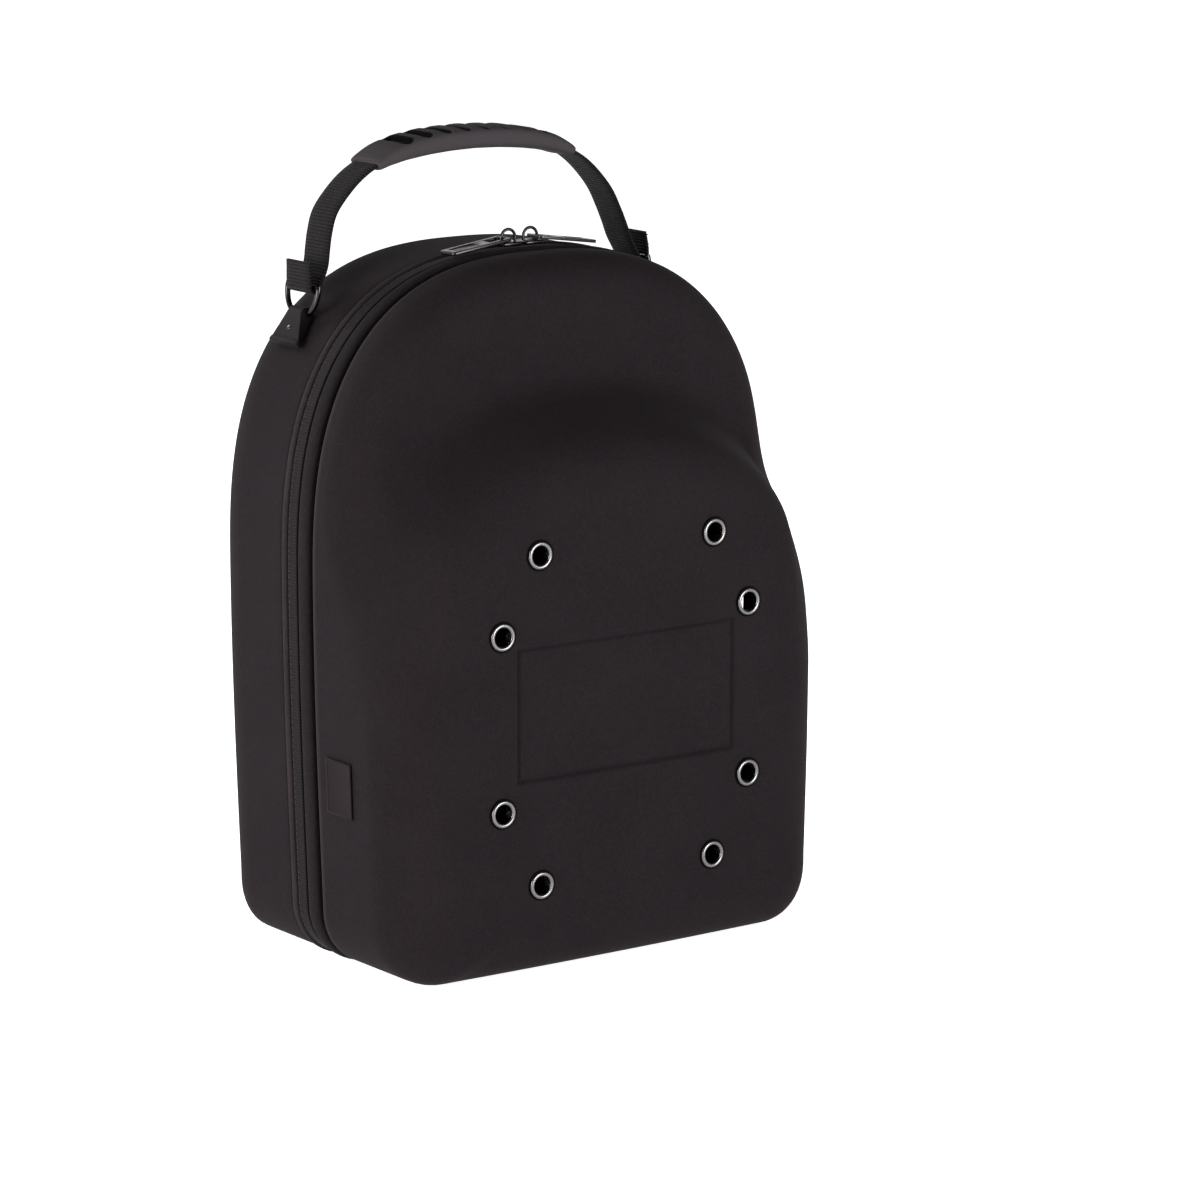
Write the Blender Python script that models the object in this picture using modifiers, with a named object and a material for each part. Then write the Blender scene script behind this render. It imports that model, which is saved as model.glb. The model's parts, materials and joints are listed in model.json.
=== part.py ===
"""Moulded carrier case for a stack of baseball caps.

Two deep foam shells meet at a zip that runs round the whole outline, apart
from a hinge tape at the bottom. The front shell bulges forward over the crowns
of the caps, and steps back to a flatter lid above a soft brow. Eight eyelets
let air in, and a webbing handle hangs in two D-rings on the rear shell.

Metres, +Z up, the front looks along -Y. Pieces are placed from the plane
where the two zip tapes meet.
"""
import math

import bmesh
import bpy
from mathutils import Matrix, Vector

# Outline of the case, seen from the front
WIDTH = 0.268              # at its widest
BASE_WIDTH = 0.260         # across the bottom, before the corners
HEIGHT = 0.350             # top of the shells
WIDEST_HEIGHT = 0.195      # where the sides turn into the arch
CORNER_RADIUS = 0.031      # bottom corners
ARCH_POWER = 2.60          # 2 is an ellipse, more is squarer

# Shells
WALL = 0.003               # foam between two layers of cloth
FRONT_DEPTH = 0.0790       # rim to the middle of the front face
LID_DEPTH = 0.0285         # rim to the lid above the brow
BACK_DEPTH = 0.0725        # rim to the back panel
FACE_BOW = 0.0030          # the front face is this much lower at its sides
BULGE_BASE = 0.150         # the bulge narrows in an arch above this height
BULGE_TOP = 0.274          # top of that arch
BULGE_POWER = 2.2
BULGE_ROUND = 0.030        # its brow
BULGE_CLIFF = 2.5          # slope below the brow, before the fold
FOLD = 0.022               # softness of the hollow between bulge and lid
LID_ROUND = 0.020          # edge radii of the front shell
SIDE_ROUND = 0.032
FOOT_ROUND = 0.026
BACK_ROUND = 0.034         # edge radii of the back shell
BACK_FOOT_ROUND = 0.019
FACE_POLE = 0.150          # height of the middle of the front face's rings
SPINE_LOW = 0.085          # the rounded edges turn in towards this stretch
SPINE_HIGH = 0.215

# Zip band, from the front rim to the back rim
GROOVE = 0.0026            # sunk binding next to the front shell
STRIP_WIDTH = 0.0102       # rounded front tape
SLIT = 0.0016
TAPE_WIDTH = 0.0082        # ribbed rear tape
PIPING = 0.0045            # raised edge of the rear shell
BAND_THICKNESS = 0.0026
BINDING_SINK = 0.0016
PROUD = 0.0008             # how far strip and piping stand out
COIL_WIDTH = 0.0070
COIL_THICKNESS = 0.0018

# Eyelets
HOLE_RADIUS = 0.0048
FLANGE_RADIUS = 0.0076
FLANGE_THICKNESS = 0.0009
LIP_HEIGHT = 0.0005        # flange above the shell, at the hole
BARREL_WALL = 0.0005
UPPER_EYELET = (0.0530, 0.2135)
UPPER_SIDE_EYELET = (0.0750, 0.1755)
LOWER_SIDE_EYELET = (0.0750, 0.0875)
LOWER_EYELET = (0.0525, 0.0485)
PANEL_WIDTH = 0.131        # plain sunk panel between the eyelets
PANEL_HEIGHT = 0.066
PANEL_CENTRE = 0.1350
PANEL_SINK = 0.0008

# Handle
HANDLE_BACK = 0.042        # centre of the handle behind the slit
SHOULDER_HALF = 0.0985     # ring tabs hold their rings here, each side
STRAP_WIDTH = 0.025
STRAP_THICKNESS = 0.0018
FLAP_LENGTH = 0.010        # strap folded back past the ring
FLAP_LEAN = 0.10           # inward, per height
STRAP_WRAP = (15, -160)    # degrees covered round the ring's bar
HANDLE_RISE = 0.0655       # ring bar to the middle of the grip
GRIP_LENGTH = 0.122
GRIP_WIDTH = 0.029
GRIP_THICKNESS = 0.0095
GRIP_WALL = 0.0012         # round the strap, at least
GRIP_SIDE_POWER = 0.45     # 1 is an ellipse, less is squarer
GRIP_TOP_POWER = 0.75
SLOT_SPREAD = 1.2
RING_WIRE = 0.0016         # wire radius
RING_WIDTH = 0.0300        # between wire centres
RING_DROP = 0.0170
RING_POWER = 2.5
RING_LEAN = 8.0            # degrees outward at the bottom
TAB_WIDTH = 0.026
TAB_NECK = 0.012
TAB_LENGTH = 0.019
TAB_THICKNESS = 0.0020
TAB_WALL = 0.0016          # round the ring
TAB_FOLD = (-90, -282)     # degrees covered round the ring
RING_PLAY = 0.0008         # between ring and tab

# Sliders and pulls
SLIDER_LENGTH = 0.0110
SLIDER_WIDTH = 0.0095
SLIDER_THICKNESS = 0.0022
SLIDER_BEVEL = 0.0005
SLIDER_GAP = 0.0024        # between the two sliders
CROWN_RADIUS = 0.0042      # centre line of the crown's arch
CROWN_WIRE = 0.0008
CROWN_POST = 0.0018        # slider top to the middle of the arch
PULL_LENGTH = 0.036
PULL_WIDTH = 0.013
PULL_THICKNESS = 0.0016
PULL_SLOT_LENGTH = 0.0100
PULL_SLOT_WIDTH = 0.0068
PULL_BAR = 0.0015          # bar that is caught under the crown
PULL_TILT = 8.0            # degrees below level, to follow the arch

# Side label
LABEL_DEPTH = 0.022
LABEL_HEIGHT = 0.028
LABEL_THICKNESS = 0.0008
LABEL_AHEAD = 0.0215       # its middle, ahead of the front rim
LABEL_CENTRE = 0.0975

CLEAR = 0.0003             # between neighbouring pieces
SEAT = 0.0005              # under a flat piece on a bowed face
WELD = 0.00001

# Places that follow from the sizes
STRIP_Y = -SLIT / 2
GROOVE_Y = STRIP_Y - STRIP_WIDTH
FRONT_RIM = GROOVE_Y - GROOVE
TAPE_Y = SLIT / 2
PIPING_Y = TAPE_Y + TAPE_WIDTH
BACK_RIM = PIPING_Y + PIPING
FRONT_REACH = FRONT_DEPTH - FRONT_RIM + SEAT + FLANGE_THICKNESS
BACK_REACH = BACK_DEPTH + BACK_RIM
SLIT_Y = (FRONT_REACH - BACK_REACH) / 2
LOOP_RADIUS = RING_WIRE + RING_PLAY
TAB_RADIUS = LOOP_RADIUS + TAB_WALL
SLIDER_X = (SLIDER_LENGTH + SLIDER_GAP) / 2
SLIDER_LOW = HEIGHT + PROUD + SEAT
CROWN_Z = SLIDER_LOW + SLIDER_THICKNESS + CROWN_POST

# Steps along each stretch of half the outline
FLAT_STEPS, CORNER_STEPS, SIDE_STEPS, ARCH_STEPS = 2, 5, 6, 14

# Rings of the front face, as shares of the way from its edge to its middle
FACE_RINGS = (0.07, 0.14, 0.20, 0.26, 0.31, 0.36, 0.41, 0.46, 0.52, 0.62, 0.82)

# Strap from the ring bar to the middle of the grip
STRAP_ROUTE = [
    # share of half span, share of rise
    (0.925, 0.130),
    (0.900, 0.260),
    (0.875, 0.380),
    (0.835, 0.520),
    (0.765, 0.650),
    (0.680, 0.765),
    (0.585, 0.850),
    (0.480, 0.915),
    (0.350, 0.960),
    (0.180, 0.990),
    (0.000, 1.000),
]

# Grip sections from its middle to its end
GRIP_SECTIONS = [
    # share of half length, share of width, share of thickness
    (0.00, 1.00, 1.00),
    (0.35, 1.00, 1.00),
    (0.62, 0.99, 0.94),
    (0.82, 0.97, 0.80),
    (0.94, 0.94, 0.62),
    (1.00, 0.91, 0.52),
]


def collection(name):
    found = bpy.data.collections.new(name)
    bpy.context.scene.collection.children.link(found)
    return found


def clear_scene():
    for thing in list(bpy.data.objects):
        bpy.data.objects.remove(thing, do_unlink=True)


clear_scene()
PARTS = collection("cap_carrier_case")
CUTTERS = collection("cutters")
FRAME = bpy.data.objects.new("slit_plane", None)
FRAME.location = (0, SLIT_Y, 0)
PARTS.objects.link(FRAME)


def material(name, colour, roughness, metallic=0.0):
    made = bpy.data.materials.new(name)
    made.use_nodes = True
    shader = made.node_tree.nodes["Principled BSDF"]
    shader.inputs["Base Color"].default_value = (*colour, 1)
    shader.inputs["Roughness"].default_value = roughness
    shader.inputs["Metallic"].default_value = metallic
    made.diffuse_color = (*colour, 1)
    return made


CLOTH = (0.022, 0.020, 0.021)
TRIM = (0.030, 0.028, 0.029)
WEBBING = (0.026, 0.025, 0.026)
GUNMETAL = (0.080, 0.080, 0.085)
STEEL = (0.420, 0.420, 0.430)
RUBBER = (0.045, 0.044, 0.046)
LABEL = (0.035, 0.034, 0.036)


def add_object(name, data, look, smooth=None, home=PARTS):
    made = bpy.data.objects.new(name, data)
    home.objects.link(made)
    if home is CUTTERS:
        made.hide_render = True
        made.display_type = 'WIRE'
    else:
        made.data.materials.append(material(name, *look))
    made.parent = FRAME
    if smooth:
        made.data.shade_smooth()
        made.data.set_sharp_from_angle(angle=math.radians(smooth))
    return made


def mesh_from(bm, name, closed=True):
    if closed:
        bmesh.ops.recalc_face_normals(bm, faces=bm.faces)
    mesh = bpy.data.meshes.new(name)
    bm.to_mesh(mesh)
    bm.free()
    return mesh


def bridge(bm, first, second, wrap=True):
    """Quads between two rows of vertices of the same length."""
    count = len(first)
    for i in range(count if wrap else count - 1):
        j = (i + 1) % count
        bm.faces.new((first[i], first[j], second[j], second[i]))


def arch_height(x):
    """Height of the outline's arch at a distance from the centre line."""
    share = min(abs(x) / (WIDTH / 2), 1.0)
    return WIDEST_HEIGHT + (HEIGHT - WIDEST_HEIGHT) * (1 - share ** ARCH_POWER) ** (1 / ARCH_POWER)


def half_outline():
    """Right half of the outline, from the bottom centre to the top, as (x, z)."""
    flat = BASE_WIDTH / 2 - CORNER_RADIUS
    points = [(flat * i / FLAT_STEPS, 0.0) for i in range(FLAT_STEPS)]
    for i in range(CORNER_STEPS):
        turn = math.radians(90) * i / CORNER_STEPS
        points.append((flat + CORNER_RADIUS * math.sin(turn), CORNER_RADIUS * (1 - math.cos(turn))))
    for i in range(SIDE_STEPS):
        share = i / SIDE_STEPS
        x = BASE_WIDTH / 2 + (WIDTH - BASE_WIDTH) / 2 * math.sin(math.radians(90) * share)
        points.append((x, CORNER_RADIUS + (WIDEST_HEIGHT - CORNER_RADIUS) * share))
    for i in range(ARCH_STEPS):
        turn = math.radians(90) * i / ARCH_STEPS
        across, up = math.cos(turn) / (WIDTH / 2), math.sin(turn) / (HEIGHT - WIDEST_HEIGHT)
        reach = (across ** ARCH_POWER + up ** ARCH_POWER) ** (-1 / ARCH_POWER)
        points.append((reach * math.cos(turn), WIDEST_HEIGHT + reach * math.sin(turn)))
    return points + [(0.0, HEIGHT)]


def outline():
    """The whole outline, anticlockwise from the bottom centre, as points and outward normals."""
    right = half_outline()
    points = right + [(-x, z) for x, z in reversed(right[1:-1])]
    count = len(points)
    normals = []
    for i in range(count):
        before, after = points[i - 1], points[(i + 1) % count]
        run, rise = after[0] - before[0], after[1] - before[1]
        length = math.hypot(run, rise)
        normals.append((rise / length, -run / length))
    return points, normals


POINTS, NORMALS = outline()


def outset(index, distance):
    """Outline point moved outward, kept on or above the ground."""
    (x, z), (across, up) = POINTS[index], NORMALS[index]
    return x + across * distance, max(z + up * distance, 0.0)


def ease(share):
    share = min(max(share, 0.0), 1.0)
    return share * share * (3 - 2 * share)


def face_depth(x, z, inset=WIDTH, edge=0.0):
    """How far the front shell stands ahead of its rim at one place.

    inset is the place's distance inside the outline, whose edge radius there is edge.
    """
    side = abs(x) / (WIDTH / 2)
    front = FRONT_DEPTH - FACE_BOW * side ** 2
    rise = max(z - BULGE_BASE, 0.0)
    gauge = (side ** BULGE_POWER + (rise / (BULGE_TOP - BULGE_BASE)) ** BULGE_POWER) ** (1 / BULGE_POWER)
    within = math.hypot(x, rise) * (1 / max(gauge, CLEAR) - 1) if gauge > CLEAR else WIDTH
    bulge = front - max(edge_drop(inset, edge), edge_drop(within, BULGE_ROUND))
    lid = LID_DEPTH - edge_drop(inset, LID_ROUND)
    share = min(max(0.5 + (bulge - lid) / (2 * FOLD), 0.0), 1.0)
    return lid + (bulge - lid) * share + FOLD * share * (1 - share)


def edge_drop(inset, radius):
    """How far a rounded edge lies below its face, at a distance inside the edge."""
    if inset <= 0:
        return radius - BULGE_CLIFF * inset
    if inset >= radius:
        return 0.0
    return radius - math.sqrt(radius ** 2 - (radius - inset) ** 2)


def edge_round(index):
    """Edge radius of the front shell at one outline point."""
    high = ease((POINTS[index][1] - BULGE_BASE) / (BULGE_TOP - BULGE_BASE))
    radius = SIDE_ROUND + (LID_ROUND - SIDE_ROUND) * high
    down = max(-NORMALS[index][1], 0.0) ** 2
    return radius + (FOOT_ROUND - radius) * down


def inner_point(index, radius):
    """Outline point moved towards the spine until it is an edge radius inside."""
    (x, z), (across, up) = POINTS[index], NORMALS[index]
    aim_z = min(max(z, SPINE_LOW), SPINE_HIGH)
    length = math.hypot(x, aim_z - z)
    aim_across, aim_up = -x / length, (aim_z - z) / length
    reach = radius / -(aim_across * across + aim_up * up)
    return x + aim_across * reach, z + aim_up * reach


def front_rings():
    """Rings of the front shell from its rim to the middle of its face."""
    steps = (30, 60, 90)
    rings = [[Vector((x, FRONT_RIM, z)) for x, z in POINTS]]
    rounded = [[] for _ in range(len(steps) + 1)]
    faces = [[] for _ in FACE_RINGS]
    for i in range(len(POINTS)):
        radius = edge_round(i)
        edge_x, edge_z = inner_point(i, radius)
        for ring, turn in zip(rounded, (0,) + steps):
            inset = radius * (1 - math.cos(math.radians(turn)))
            x, z = inner_point(i, inset)
            ring.append(Vector((x, FRONT_RIM - face_depth(x, z, inset, radius), z)))
        for ring, share in zip(faces, FACE_RINGS):
            x = edge_x * (1 - share)
            z = edge_z + (FACE_POLE - edge_z) * share
            inset = radius + math.hypot(edge_x, edge_z - FACE_POLE) * share
            ring.append(Vector((x, FRONT_RIM - face_depth(x, z, inset, radius), z)))
    return rings + rounded + faces


def open_shell(name, rings, pole, look):
    bm = bmesh.new()
    rows = [[bm.verts.new(point) for point in ring] for ring in rings]
    for first, second in zip(rows, rows[1:]):
        bridge(bm, first, second)
    middle = bm.verts.new(pole)
    last = rows[-1]
    for i in range(len(last)):
        bm.faces.new((last[i], last[(i + 1) % len(last)], middle))
    bmesh.ops.triangulate(bm, faces=bm.faces, quad_method='SHORT_EDGE')
    if pole[1] > 0:
        bmesh.ops.reverse_faces(bm, faces=bm.faces)
    shell = add_object(name, mesh_from(bm, name, closed=False), look, smooth=50)
    wall = shell.modifiers.new("wall", 'SOLIDIFY')
    wall.thickness = WALL
    wall.offset = -1
    wall.use_quality_normals = True
    return shell


def cut(target, cutter):
    hole = target.modifiers.new(cutter.name, 'BOOLEAN')
    hole.operation = 'DIFFERENCE'
    hole.object = cutter
    hole.solver = 'EXACT'


def eyelet_places():
    """Centre and outward direction of each eyelet, top row first."""
    places = []
    for x, z in (UPPER_EYELET, UPPER_SIDE_EYELET, LOWER_SIDE_EYELET, LOWER_EYELET):
        for side in (-1, 1):
            depth = face_depth(x, z)
            slope = (face_depth(x + FLANGE_RADIUS, z) - face_depth(x - FLANGE_RADIUS, z)) / (2 * FLANGE_RADIUS)
            out = Vector((-side * slope, -1, 0)).normalized()
            places.append((Vector((side * x, FRONT_RIM - depth, z)), out))
    return places


def along(direction):
    """Rotation that turns +Z to a direction."""
    return Vector((0, 0, 1)).rotation_difference(direction).to_matrix().to_4x4()


def front_shell():
    pole = (0, FRONT_RIM - face_depth(0, FACE_POLE), FACE_POLE)
    shell = open_shell("front_shell", front_rings(), pole, (CLOTH, 0.9))
    bm = bmesh.new()
    for place, out in eyelet_places():
        radius = HOLE_RADIUS + BARREL_WALL + CLEAR
        bmesh.ops.create_cone(
            bm, cap_ends=True, segments=16, radius1=radius, radius2=radius, depth=6 * WALL,
            matrix=Matrix.Translation(place) @ along(out))
    cut(shell, add_object("eyelet_holes", mesh_from(bm, "eyelet_holes"), None, home=CUTTERS))
    bm = bmesh.new()
    bmesh.ops.create_cube(bm, size=1)
    bmesh.ops.scale(bm, vec=(PANEL_WIDTH, 2 * WALL, PANEL_HEIGHT), verts=bm.verts)
    floor = FRONT_RIM - face_depth(PANEL_WIDTH / 2, PANEL_CENTRE) + PANEL_SINK
    bmesh.ops.translate(bm, vec=(0, floor - WALL, PANEL_CENTRE), verts=bm.verts)
    cut(shell, add_object("panel_sink", mesh_from(bm, "panel_sink"), None, home=CUTTERS))


def back_shell():
    depth = BACK_RIM + BACK_DEPTH
    rings = [[Vector((x, BACK_RIM, z)) for x, z in POINTS]]
    for turn in (0, 22.5, 45, 67.5, 90):
        turn = math.radians(turn)
        ring = []
        for i in range(len(POINTS)):
            down = max(-NORMALS[i][1], 0.0) ** 2
            radius = BACK_ROUND + (BACK_FOOT_ROUND - BACK_ROUND) * down
            x, z = inner_point(i, radius * (1 - math.cos(turn)))
            ring.append(Vector((x, depth - radius * (1 - math.sin(turn)), z)))
        rings.append(ring)
    pole = (0, depth, FACE_POLE)
    open_shell("back_shell", rings, pole, (CLOTH, 0.9))


def band(name, section, look, indices=None):
    """Sweep a section of (distance out, y) along the outline; a stretch gets flat ends."""
    bm = bmesh.new()
    whole = indices is None
    rings = []
    for i in (range(len(POINTS)) if whole else indices):
        row = []
        for distance, y in section:
            x, z = outset(i, distance)
            row.append(bm.verts.new((x, y, z)))
        rings.append(row)
    for first, second in zip(rings, rings[1:]):
        bridge(bm, first, second)
    if whole:
        bridge(bm, rings[-1], rings[0])
    else:
        bm.faces.new(rings[0])
        bm.faces.new(rings[-1])
    add_object(name, mesh_from(bm, name), look, smooth=40)


def zip_band():
    inner = -BAND_THICKNESS
    shoulder = -BAND_THICKNESS / 2
    front, back = GROOVE_Y + CLEAR, STRIP_Y
    bend = STRIP_WIDTH / 4
    band("zip_tape_front", [
        (inner, front), (shoulder, front), (PROUD, front + bend),
        (PROUD, back - bend), (shoulder, back), (inner, back)], (TRIM, 0.85))
    front, back = FRONT_RIM + CLEAR, GROOVE_Y
    band("front_binding", [
        (inner, front), (-BINDING_SINK, front), (-BINDING_SINK, back), (inner, back)], (TRIM, 0.9))
    front, back = TAPE_Y, PIPING_Y - CLEAR
    band("zip_tape_back", [
        (inner, front), (-CLEAR, front), (-CLEAR, back), (inner, back)], (TRIM, 0.85))
    front, back = PIPING_Y, BACK_RIM - CLEAR
    bend = PIPING / 4
    band("back_piping", [
        (inner, front), (0, front), (PROUD, front + bend),
        (PROUD, back - bend), (0, back), (inner, back)], (TRIM, 0.85))
    top = inner - CLEAR
    low = top - COIL_THICKNESS
    half = COIL_WIDTH / 2
    start = FLAT_STEPS + 1
    band("zip_coil", [(low, -half), (top, -half), (top, half), (low, half)], (TRIM, 0.6),
         indices=range(start, len(POINTS) - start + 1))


def hinge_tape():
    """Plain tape that joins the two halves along the flat bottom, inside."""
    reach = BASE_WIDTH / 2 - CORNER_RADIUS - CLEAR
    low = BAND_THICKNESS + CLEAR
    bm = bmesh.new()
    bmesh.ops.create_cube(bm, size=1)
    bmesh.ops.scale(bm, vec=(2 * reach, PIPING_Y - GROOVE_Y, COIL_THICKNESS), verts=bm.verts)
    middle = (GROOVE_Y + PIPING_Y) / 2
    bmesh.ops.translate(bm, vec=(0, middle, low + COIL_THICKNESS / 2), verts=bm.verts)
    add_object("hinge_tape", mesh_from(bm, "hinge_tape"), (TRIM, 0.9))


def eyelets():
    foot = -WALL - SEAT
    barrel = HOLE_RADIUS + BARREL_WALL
    washer = FLANGE_RADIUS - 2 * BARREL_WALL
    profile = [
        (HOLE_RADIUS, SEAT + LIP_HEIGHT), (barrel, SEAT + FLANGE_THICKNESS),
        (FLANGE_RADIUS - BARREL_WALL, SEAT + FLANGE_THICKNESS), (FLANGE_RADIUS, SEAT),
        (barrel, SEAT), (barrel, foot), (washer, foot), (washer, foot - BARREL_WALL),
        (HOLE_RADIUS, foot - BARREL_WALL)]
    for number, (place, out) in enumerate(eyelet_places(), 1):
        name = f"eyelet_{number:02d}"
        bm = bmesh.new()
        row = [bm.verts.new((radius, 0, height)) for radius, height in profile]
        for i in range(len(row)):
            bm.edges.new((row[i], row[(i + 1) % len(row)]))
        ring = add_object(name, mesh_from(bm, name, closed=False), (STEEL, 0.35, 1.0), smooth=40)
        turn = ring.modifiers.new("turn", 'SCREW')
        turn.steps = turn.render_steps = 14
        turn.use_merge_vertices = True
        turn.merge_threshold = WELD
        ring.matrix_local = Matrix.Translation(place) @ along(out)


def section_row(bm, path, i, section):
    """Vertices of one section of (across, up) pairs, square to a path of (x, z)."""
    x, z = path[i]
    before, after = path[max(i - 1, 0)], path[min(i + 1, len(path) - 1)]
    run, rise = after[0] - before[0], after[1] - before[1]
    length = math.hypot(run, rise)
    up_x, up_z = -rise / length, run / length
    return [bm.verts.new((x + up_x * up, HANDLE_BACK + across, z + up_z * up)) for across, up in section]


def poly_curve(name, rows, dimensions='3D', cyclic=True):
    """Curve data with one straight-edged line through each row of (x, y, z) points."""
    curve = bpy.data.curves.new(name, 'CURVE')
    curve.dimensions = dimensions
    for points in rows:
        spline = curve.splines.new('POLY')
        spline.points.add(len(points) - 1)
        for target, point in zip(spline.points, points):
            target.co = (*point, 1)
        spline.use_cyclic_u = cyclic
    return curve


def solid_from(name, curve):
    """Welded bmesh of the solid that a curve draws."""
    drawn = bpy.data.objects.new(name + "_line", curve)
    PARTS.objects.link(drawn)
    bpy.context.view_layer.update()
    mesh = bpy.data.meshes.new_from_object(drawn.evaluated_get(bpy.context.evaluated_depsgraph_get()))
    bpy.data.objects.remove(drawn, do_unlink=True)
    bm = bmesh.new()
    bm.from_mesh(mesh)
    bmesh.ops.remove_doubles(bm, verts=bm.verts, dist=WELD)
    return bm


def plate(name, outer, hole, thickness):
    """Bmesh of a flat plate with one hole, from outlines of (x, y)."""
    curve = poly_curve(name, [[(x, y, 0) for x, y in row] for row in (outer, hole)], '2D')
    curve.fill_mode = 'BOTH'
    curve.extrude = thickness / 2
    return solid_from(name, curve)


def arc(radius, middle, start, stop, steps):
    """Points from one angle to another, in degrees, round (0, middle)."""
    turns = [math.radians(start + (stop - start) * i / steps) for i in range(steps + 1)]
    return [(radius * math.cos(turn), middle + radius * math.sin(turn)) for turn in turns]


def shoulder_frame(side):
    """Surface point, direction down the slope and outward normal where a ring tab sits."""
    step = 0.001
    x = SHOULDER_HALF
    fall = Vector((2 * step, 0, arch_height(x + step) - arch_height(x - step))).normalized()
    out = Vector((-fall.z, 0, fall.x))
    place = Vector((x, 0, arch_height(x)))
    mirror = Vector((side, 1, 1))
    return place * mirror, fall * mirror, out * mirror


def ring_axes(side):
    """Middle of the ring's lowest wire, and the direction up the ring."""
    place, _, out = shoulder_frame(side)
    lean = math.radians(RING_LEAN)
    up = Vector((-side * math.sin(lean), 0, math.cos(lean)))
    return place + out * (SEAT + TAB_RADIUS) - up * (RING_PLAY - CLEAR), up


def d_ring(side, name):
    low, up = ring_axes(side)
    points = []
    steps = 12
    for i in range(steps + 1):
        turn = math.radians(180) * i / steps
        across = math.copysign(abs(math.cos(turn)) ** (2 / RING_POWER), math.cos(turn)) * RING_WIDTH / 2
        drop = math.sin(turn) ** (2 / RING_POWER) if 0 < i < steps else 0.0
        points.append(low + Vector((0, HANDLE_BACK + across, 0)) + up * RING_DROP * (1 - drop))
    curve = poly_curve(name, [points])
    curve.bevel_depth = RING_WIRE
    curve.bevel_resolution = 2
    add_object(name, curve, (GUNMETAL, 0.3, 1.0))


def ring_tab(side, name):
    """Folded tab: a wedge on the shell with a round channel for the ring."""
    place, fall, out = shoulder_frame(side)
    rise = SEAT + TAB_RADIUS
    outer = arc(TAB_RADIUS, rise, *TAB_FOLD, 8)
    outer += [(TAB_LENGTH, SEAT + TAB_THICKNESS), (TAB_LENGTH, SEAT)]
    channel = arc(LOOP_RADIUS, rise, 0, -360, 12)[:-1]
    bm = plate(name, outer, channel, 1.0)
    for vert in bm.verts:
        s, h, across = vert.co
        width = TAB_NECK + (TAB_WIDTH - TAB_NECK) * ease((s - TAB_RADIUS / 2) / (TAB_LENGTH - TAB_RADIUS))
        vert.co = place + fall * s + out * h + Vector((0, HANDLE_BACK + across * width, 0))
    add_object(name, mesh_from(bm, name), (TRIM, 0.6), smooth=40)


def smooth_route(points, steps=2):
    """Catmull-Rom curve through route points of (x, z)."""
    route = []
    for i in range(len(points) - 1):
        p0, p1 = points[max(i - 1, 0)], points[i]
        p2, p3 = points[i + 1], points[min(i + 2, len(points) - 1)]
        for step in range(steps):
            t = step / steps
            route.append(tuple(
                0.5 * (2 * b + (c - a) * t + (2 * a - 5 * b + 4 * c - d) * t * t
                       + (3 * b - a - 3 * c + d) * t ** 3)
                for a, b, c, d in zip(p0, p1, p2, p3)))
    return route + [points[-1]]


def half_strap_path():
    """Middle line of the strap from the right flap, round the ring's bar, to the apex."""
    low, up = ring_axes(1)
    bar = low + up * RING_DROP
    turn_radius = RING_WIRE + CLEAR + STRAP_THICKNESS / 2
    wrap = arc(turn_radius, 0, *STRAP_WRAP, 5)
    wrap = [(bar.x + x, bar.z + z) for x, z in wrap]
    lean = Vector((-FLAP_LEAN, 1.0)).normalized() * FLAP_LENGTH
    flap_x = bar.x + turn_radius + CLEAR
    flap = [(flap_x + lean.x * share, bar.z + lean.y * share) for share in (1.0, 0.6, 0.3)]
    leg = [(bar.x * across, bar.z + HANDLE_RISE * rise) for across, rise in STRAP_ROUTE]
    return flap + wrap + smooth_route([wrap[-1]] + leg)[1:]


def mirrored(half):
    """Whole path from the left, of a right half that ends on the centre line."""
    return [(-x, z) for x, z in half[:-1]] + list(reversed(half))


def strap(half):
    path = mirrored(half)
    wide, thick = STRAP_WIDTH / 2, STRAP_THICKNESS / 2
    section = [(-wide, -thick), (wide, -thick), (wide, thick), (-wide, thick)]
    bm = bmesh.new()
    rows = [section_row(bm, path, i, section) for i in range(len(path))]
    for first, second in zip(rows, rows[1:]):
        bridge(bm, first, second)
    bm.faces.new(rows[0])
    bm.faces.new(rows[-1])
    add_object("handle_strap", mesh_from(bm, "handle_strap"), (WEBBING, 0.85), smooth=30)


def grip_route(half):
    """The strap's middle stretch, as long as the grip."""
    reach = GRIP_LENGTH / 2
    inside = [point for point in half if point[0] < reach]
    edge, nearest = half[len(half) - len(inside) - 1], inside[0]
    share = (reach - nearest[0]) / (edge[0] - nearest[0])
    return mirrored([(reach, nearest[1] + (edge[1] - nearest[1]) * share)] + inside)


def grip_sections(share):
    """Outer section of the grip and its slot, at a share of its half length."""
    slot_wide, slot_thick = STRAP_WIDTH / 2 + CLEAR, STRAP_THICKNESS / 2 + CLEAR
    width, thickness = grip_size(share)
    half_width = max(width / 2, slot_wide + GRIP_WALL)
    half_thick = max(thickness / 2, slot_thick + GRIP_WALL)
    outer, slot = [], []
    for k in range(12):
        turn = math.radians(30 * k + 15)
        across = math.copysign(abs(math.cos(turn)) ** GRIP_SIDE_POWER, math.cos(turn)) * half_width
        up = math.copysign(abs(math.sin(turn)) ** GRIP_TOP_POWER, math.sin(turn)) * half_thick
        outer.append((across, up))
        slot.append((max(-slot_wide, min(slot_wide, across * SLOT_SPREAD)), math.copysign(slot_thick, up)))
    return outer, slot


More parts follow.
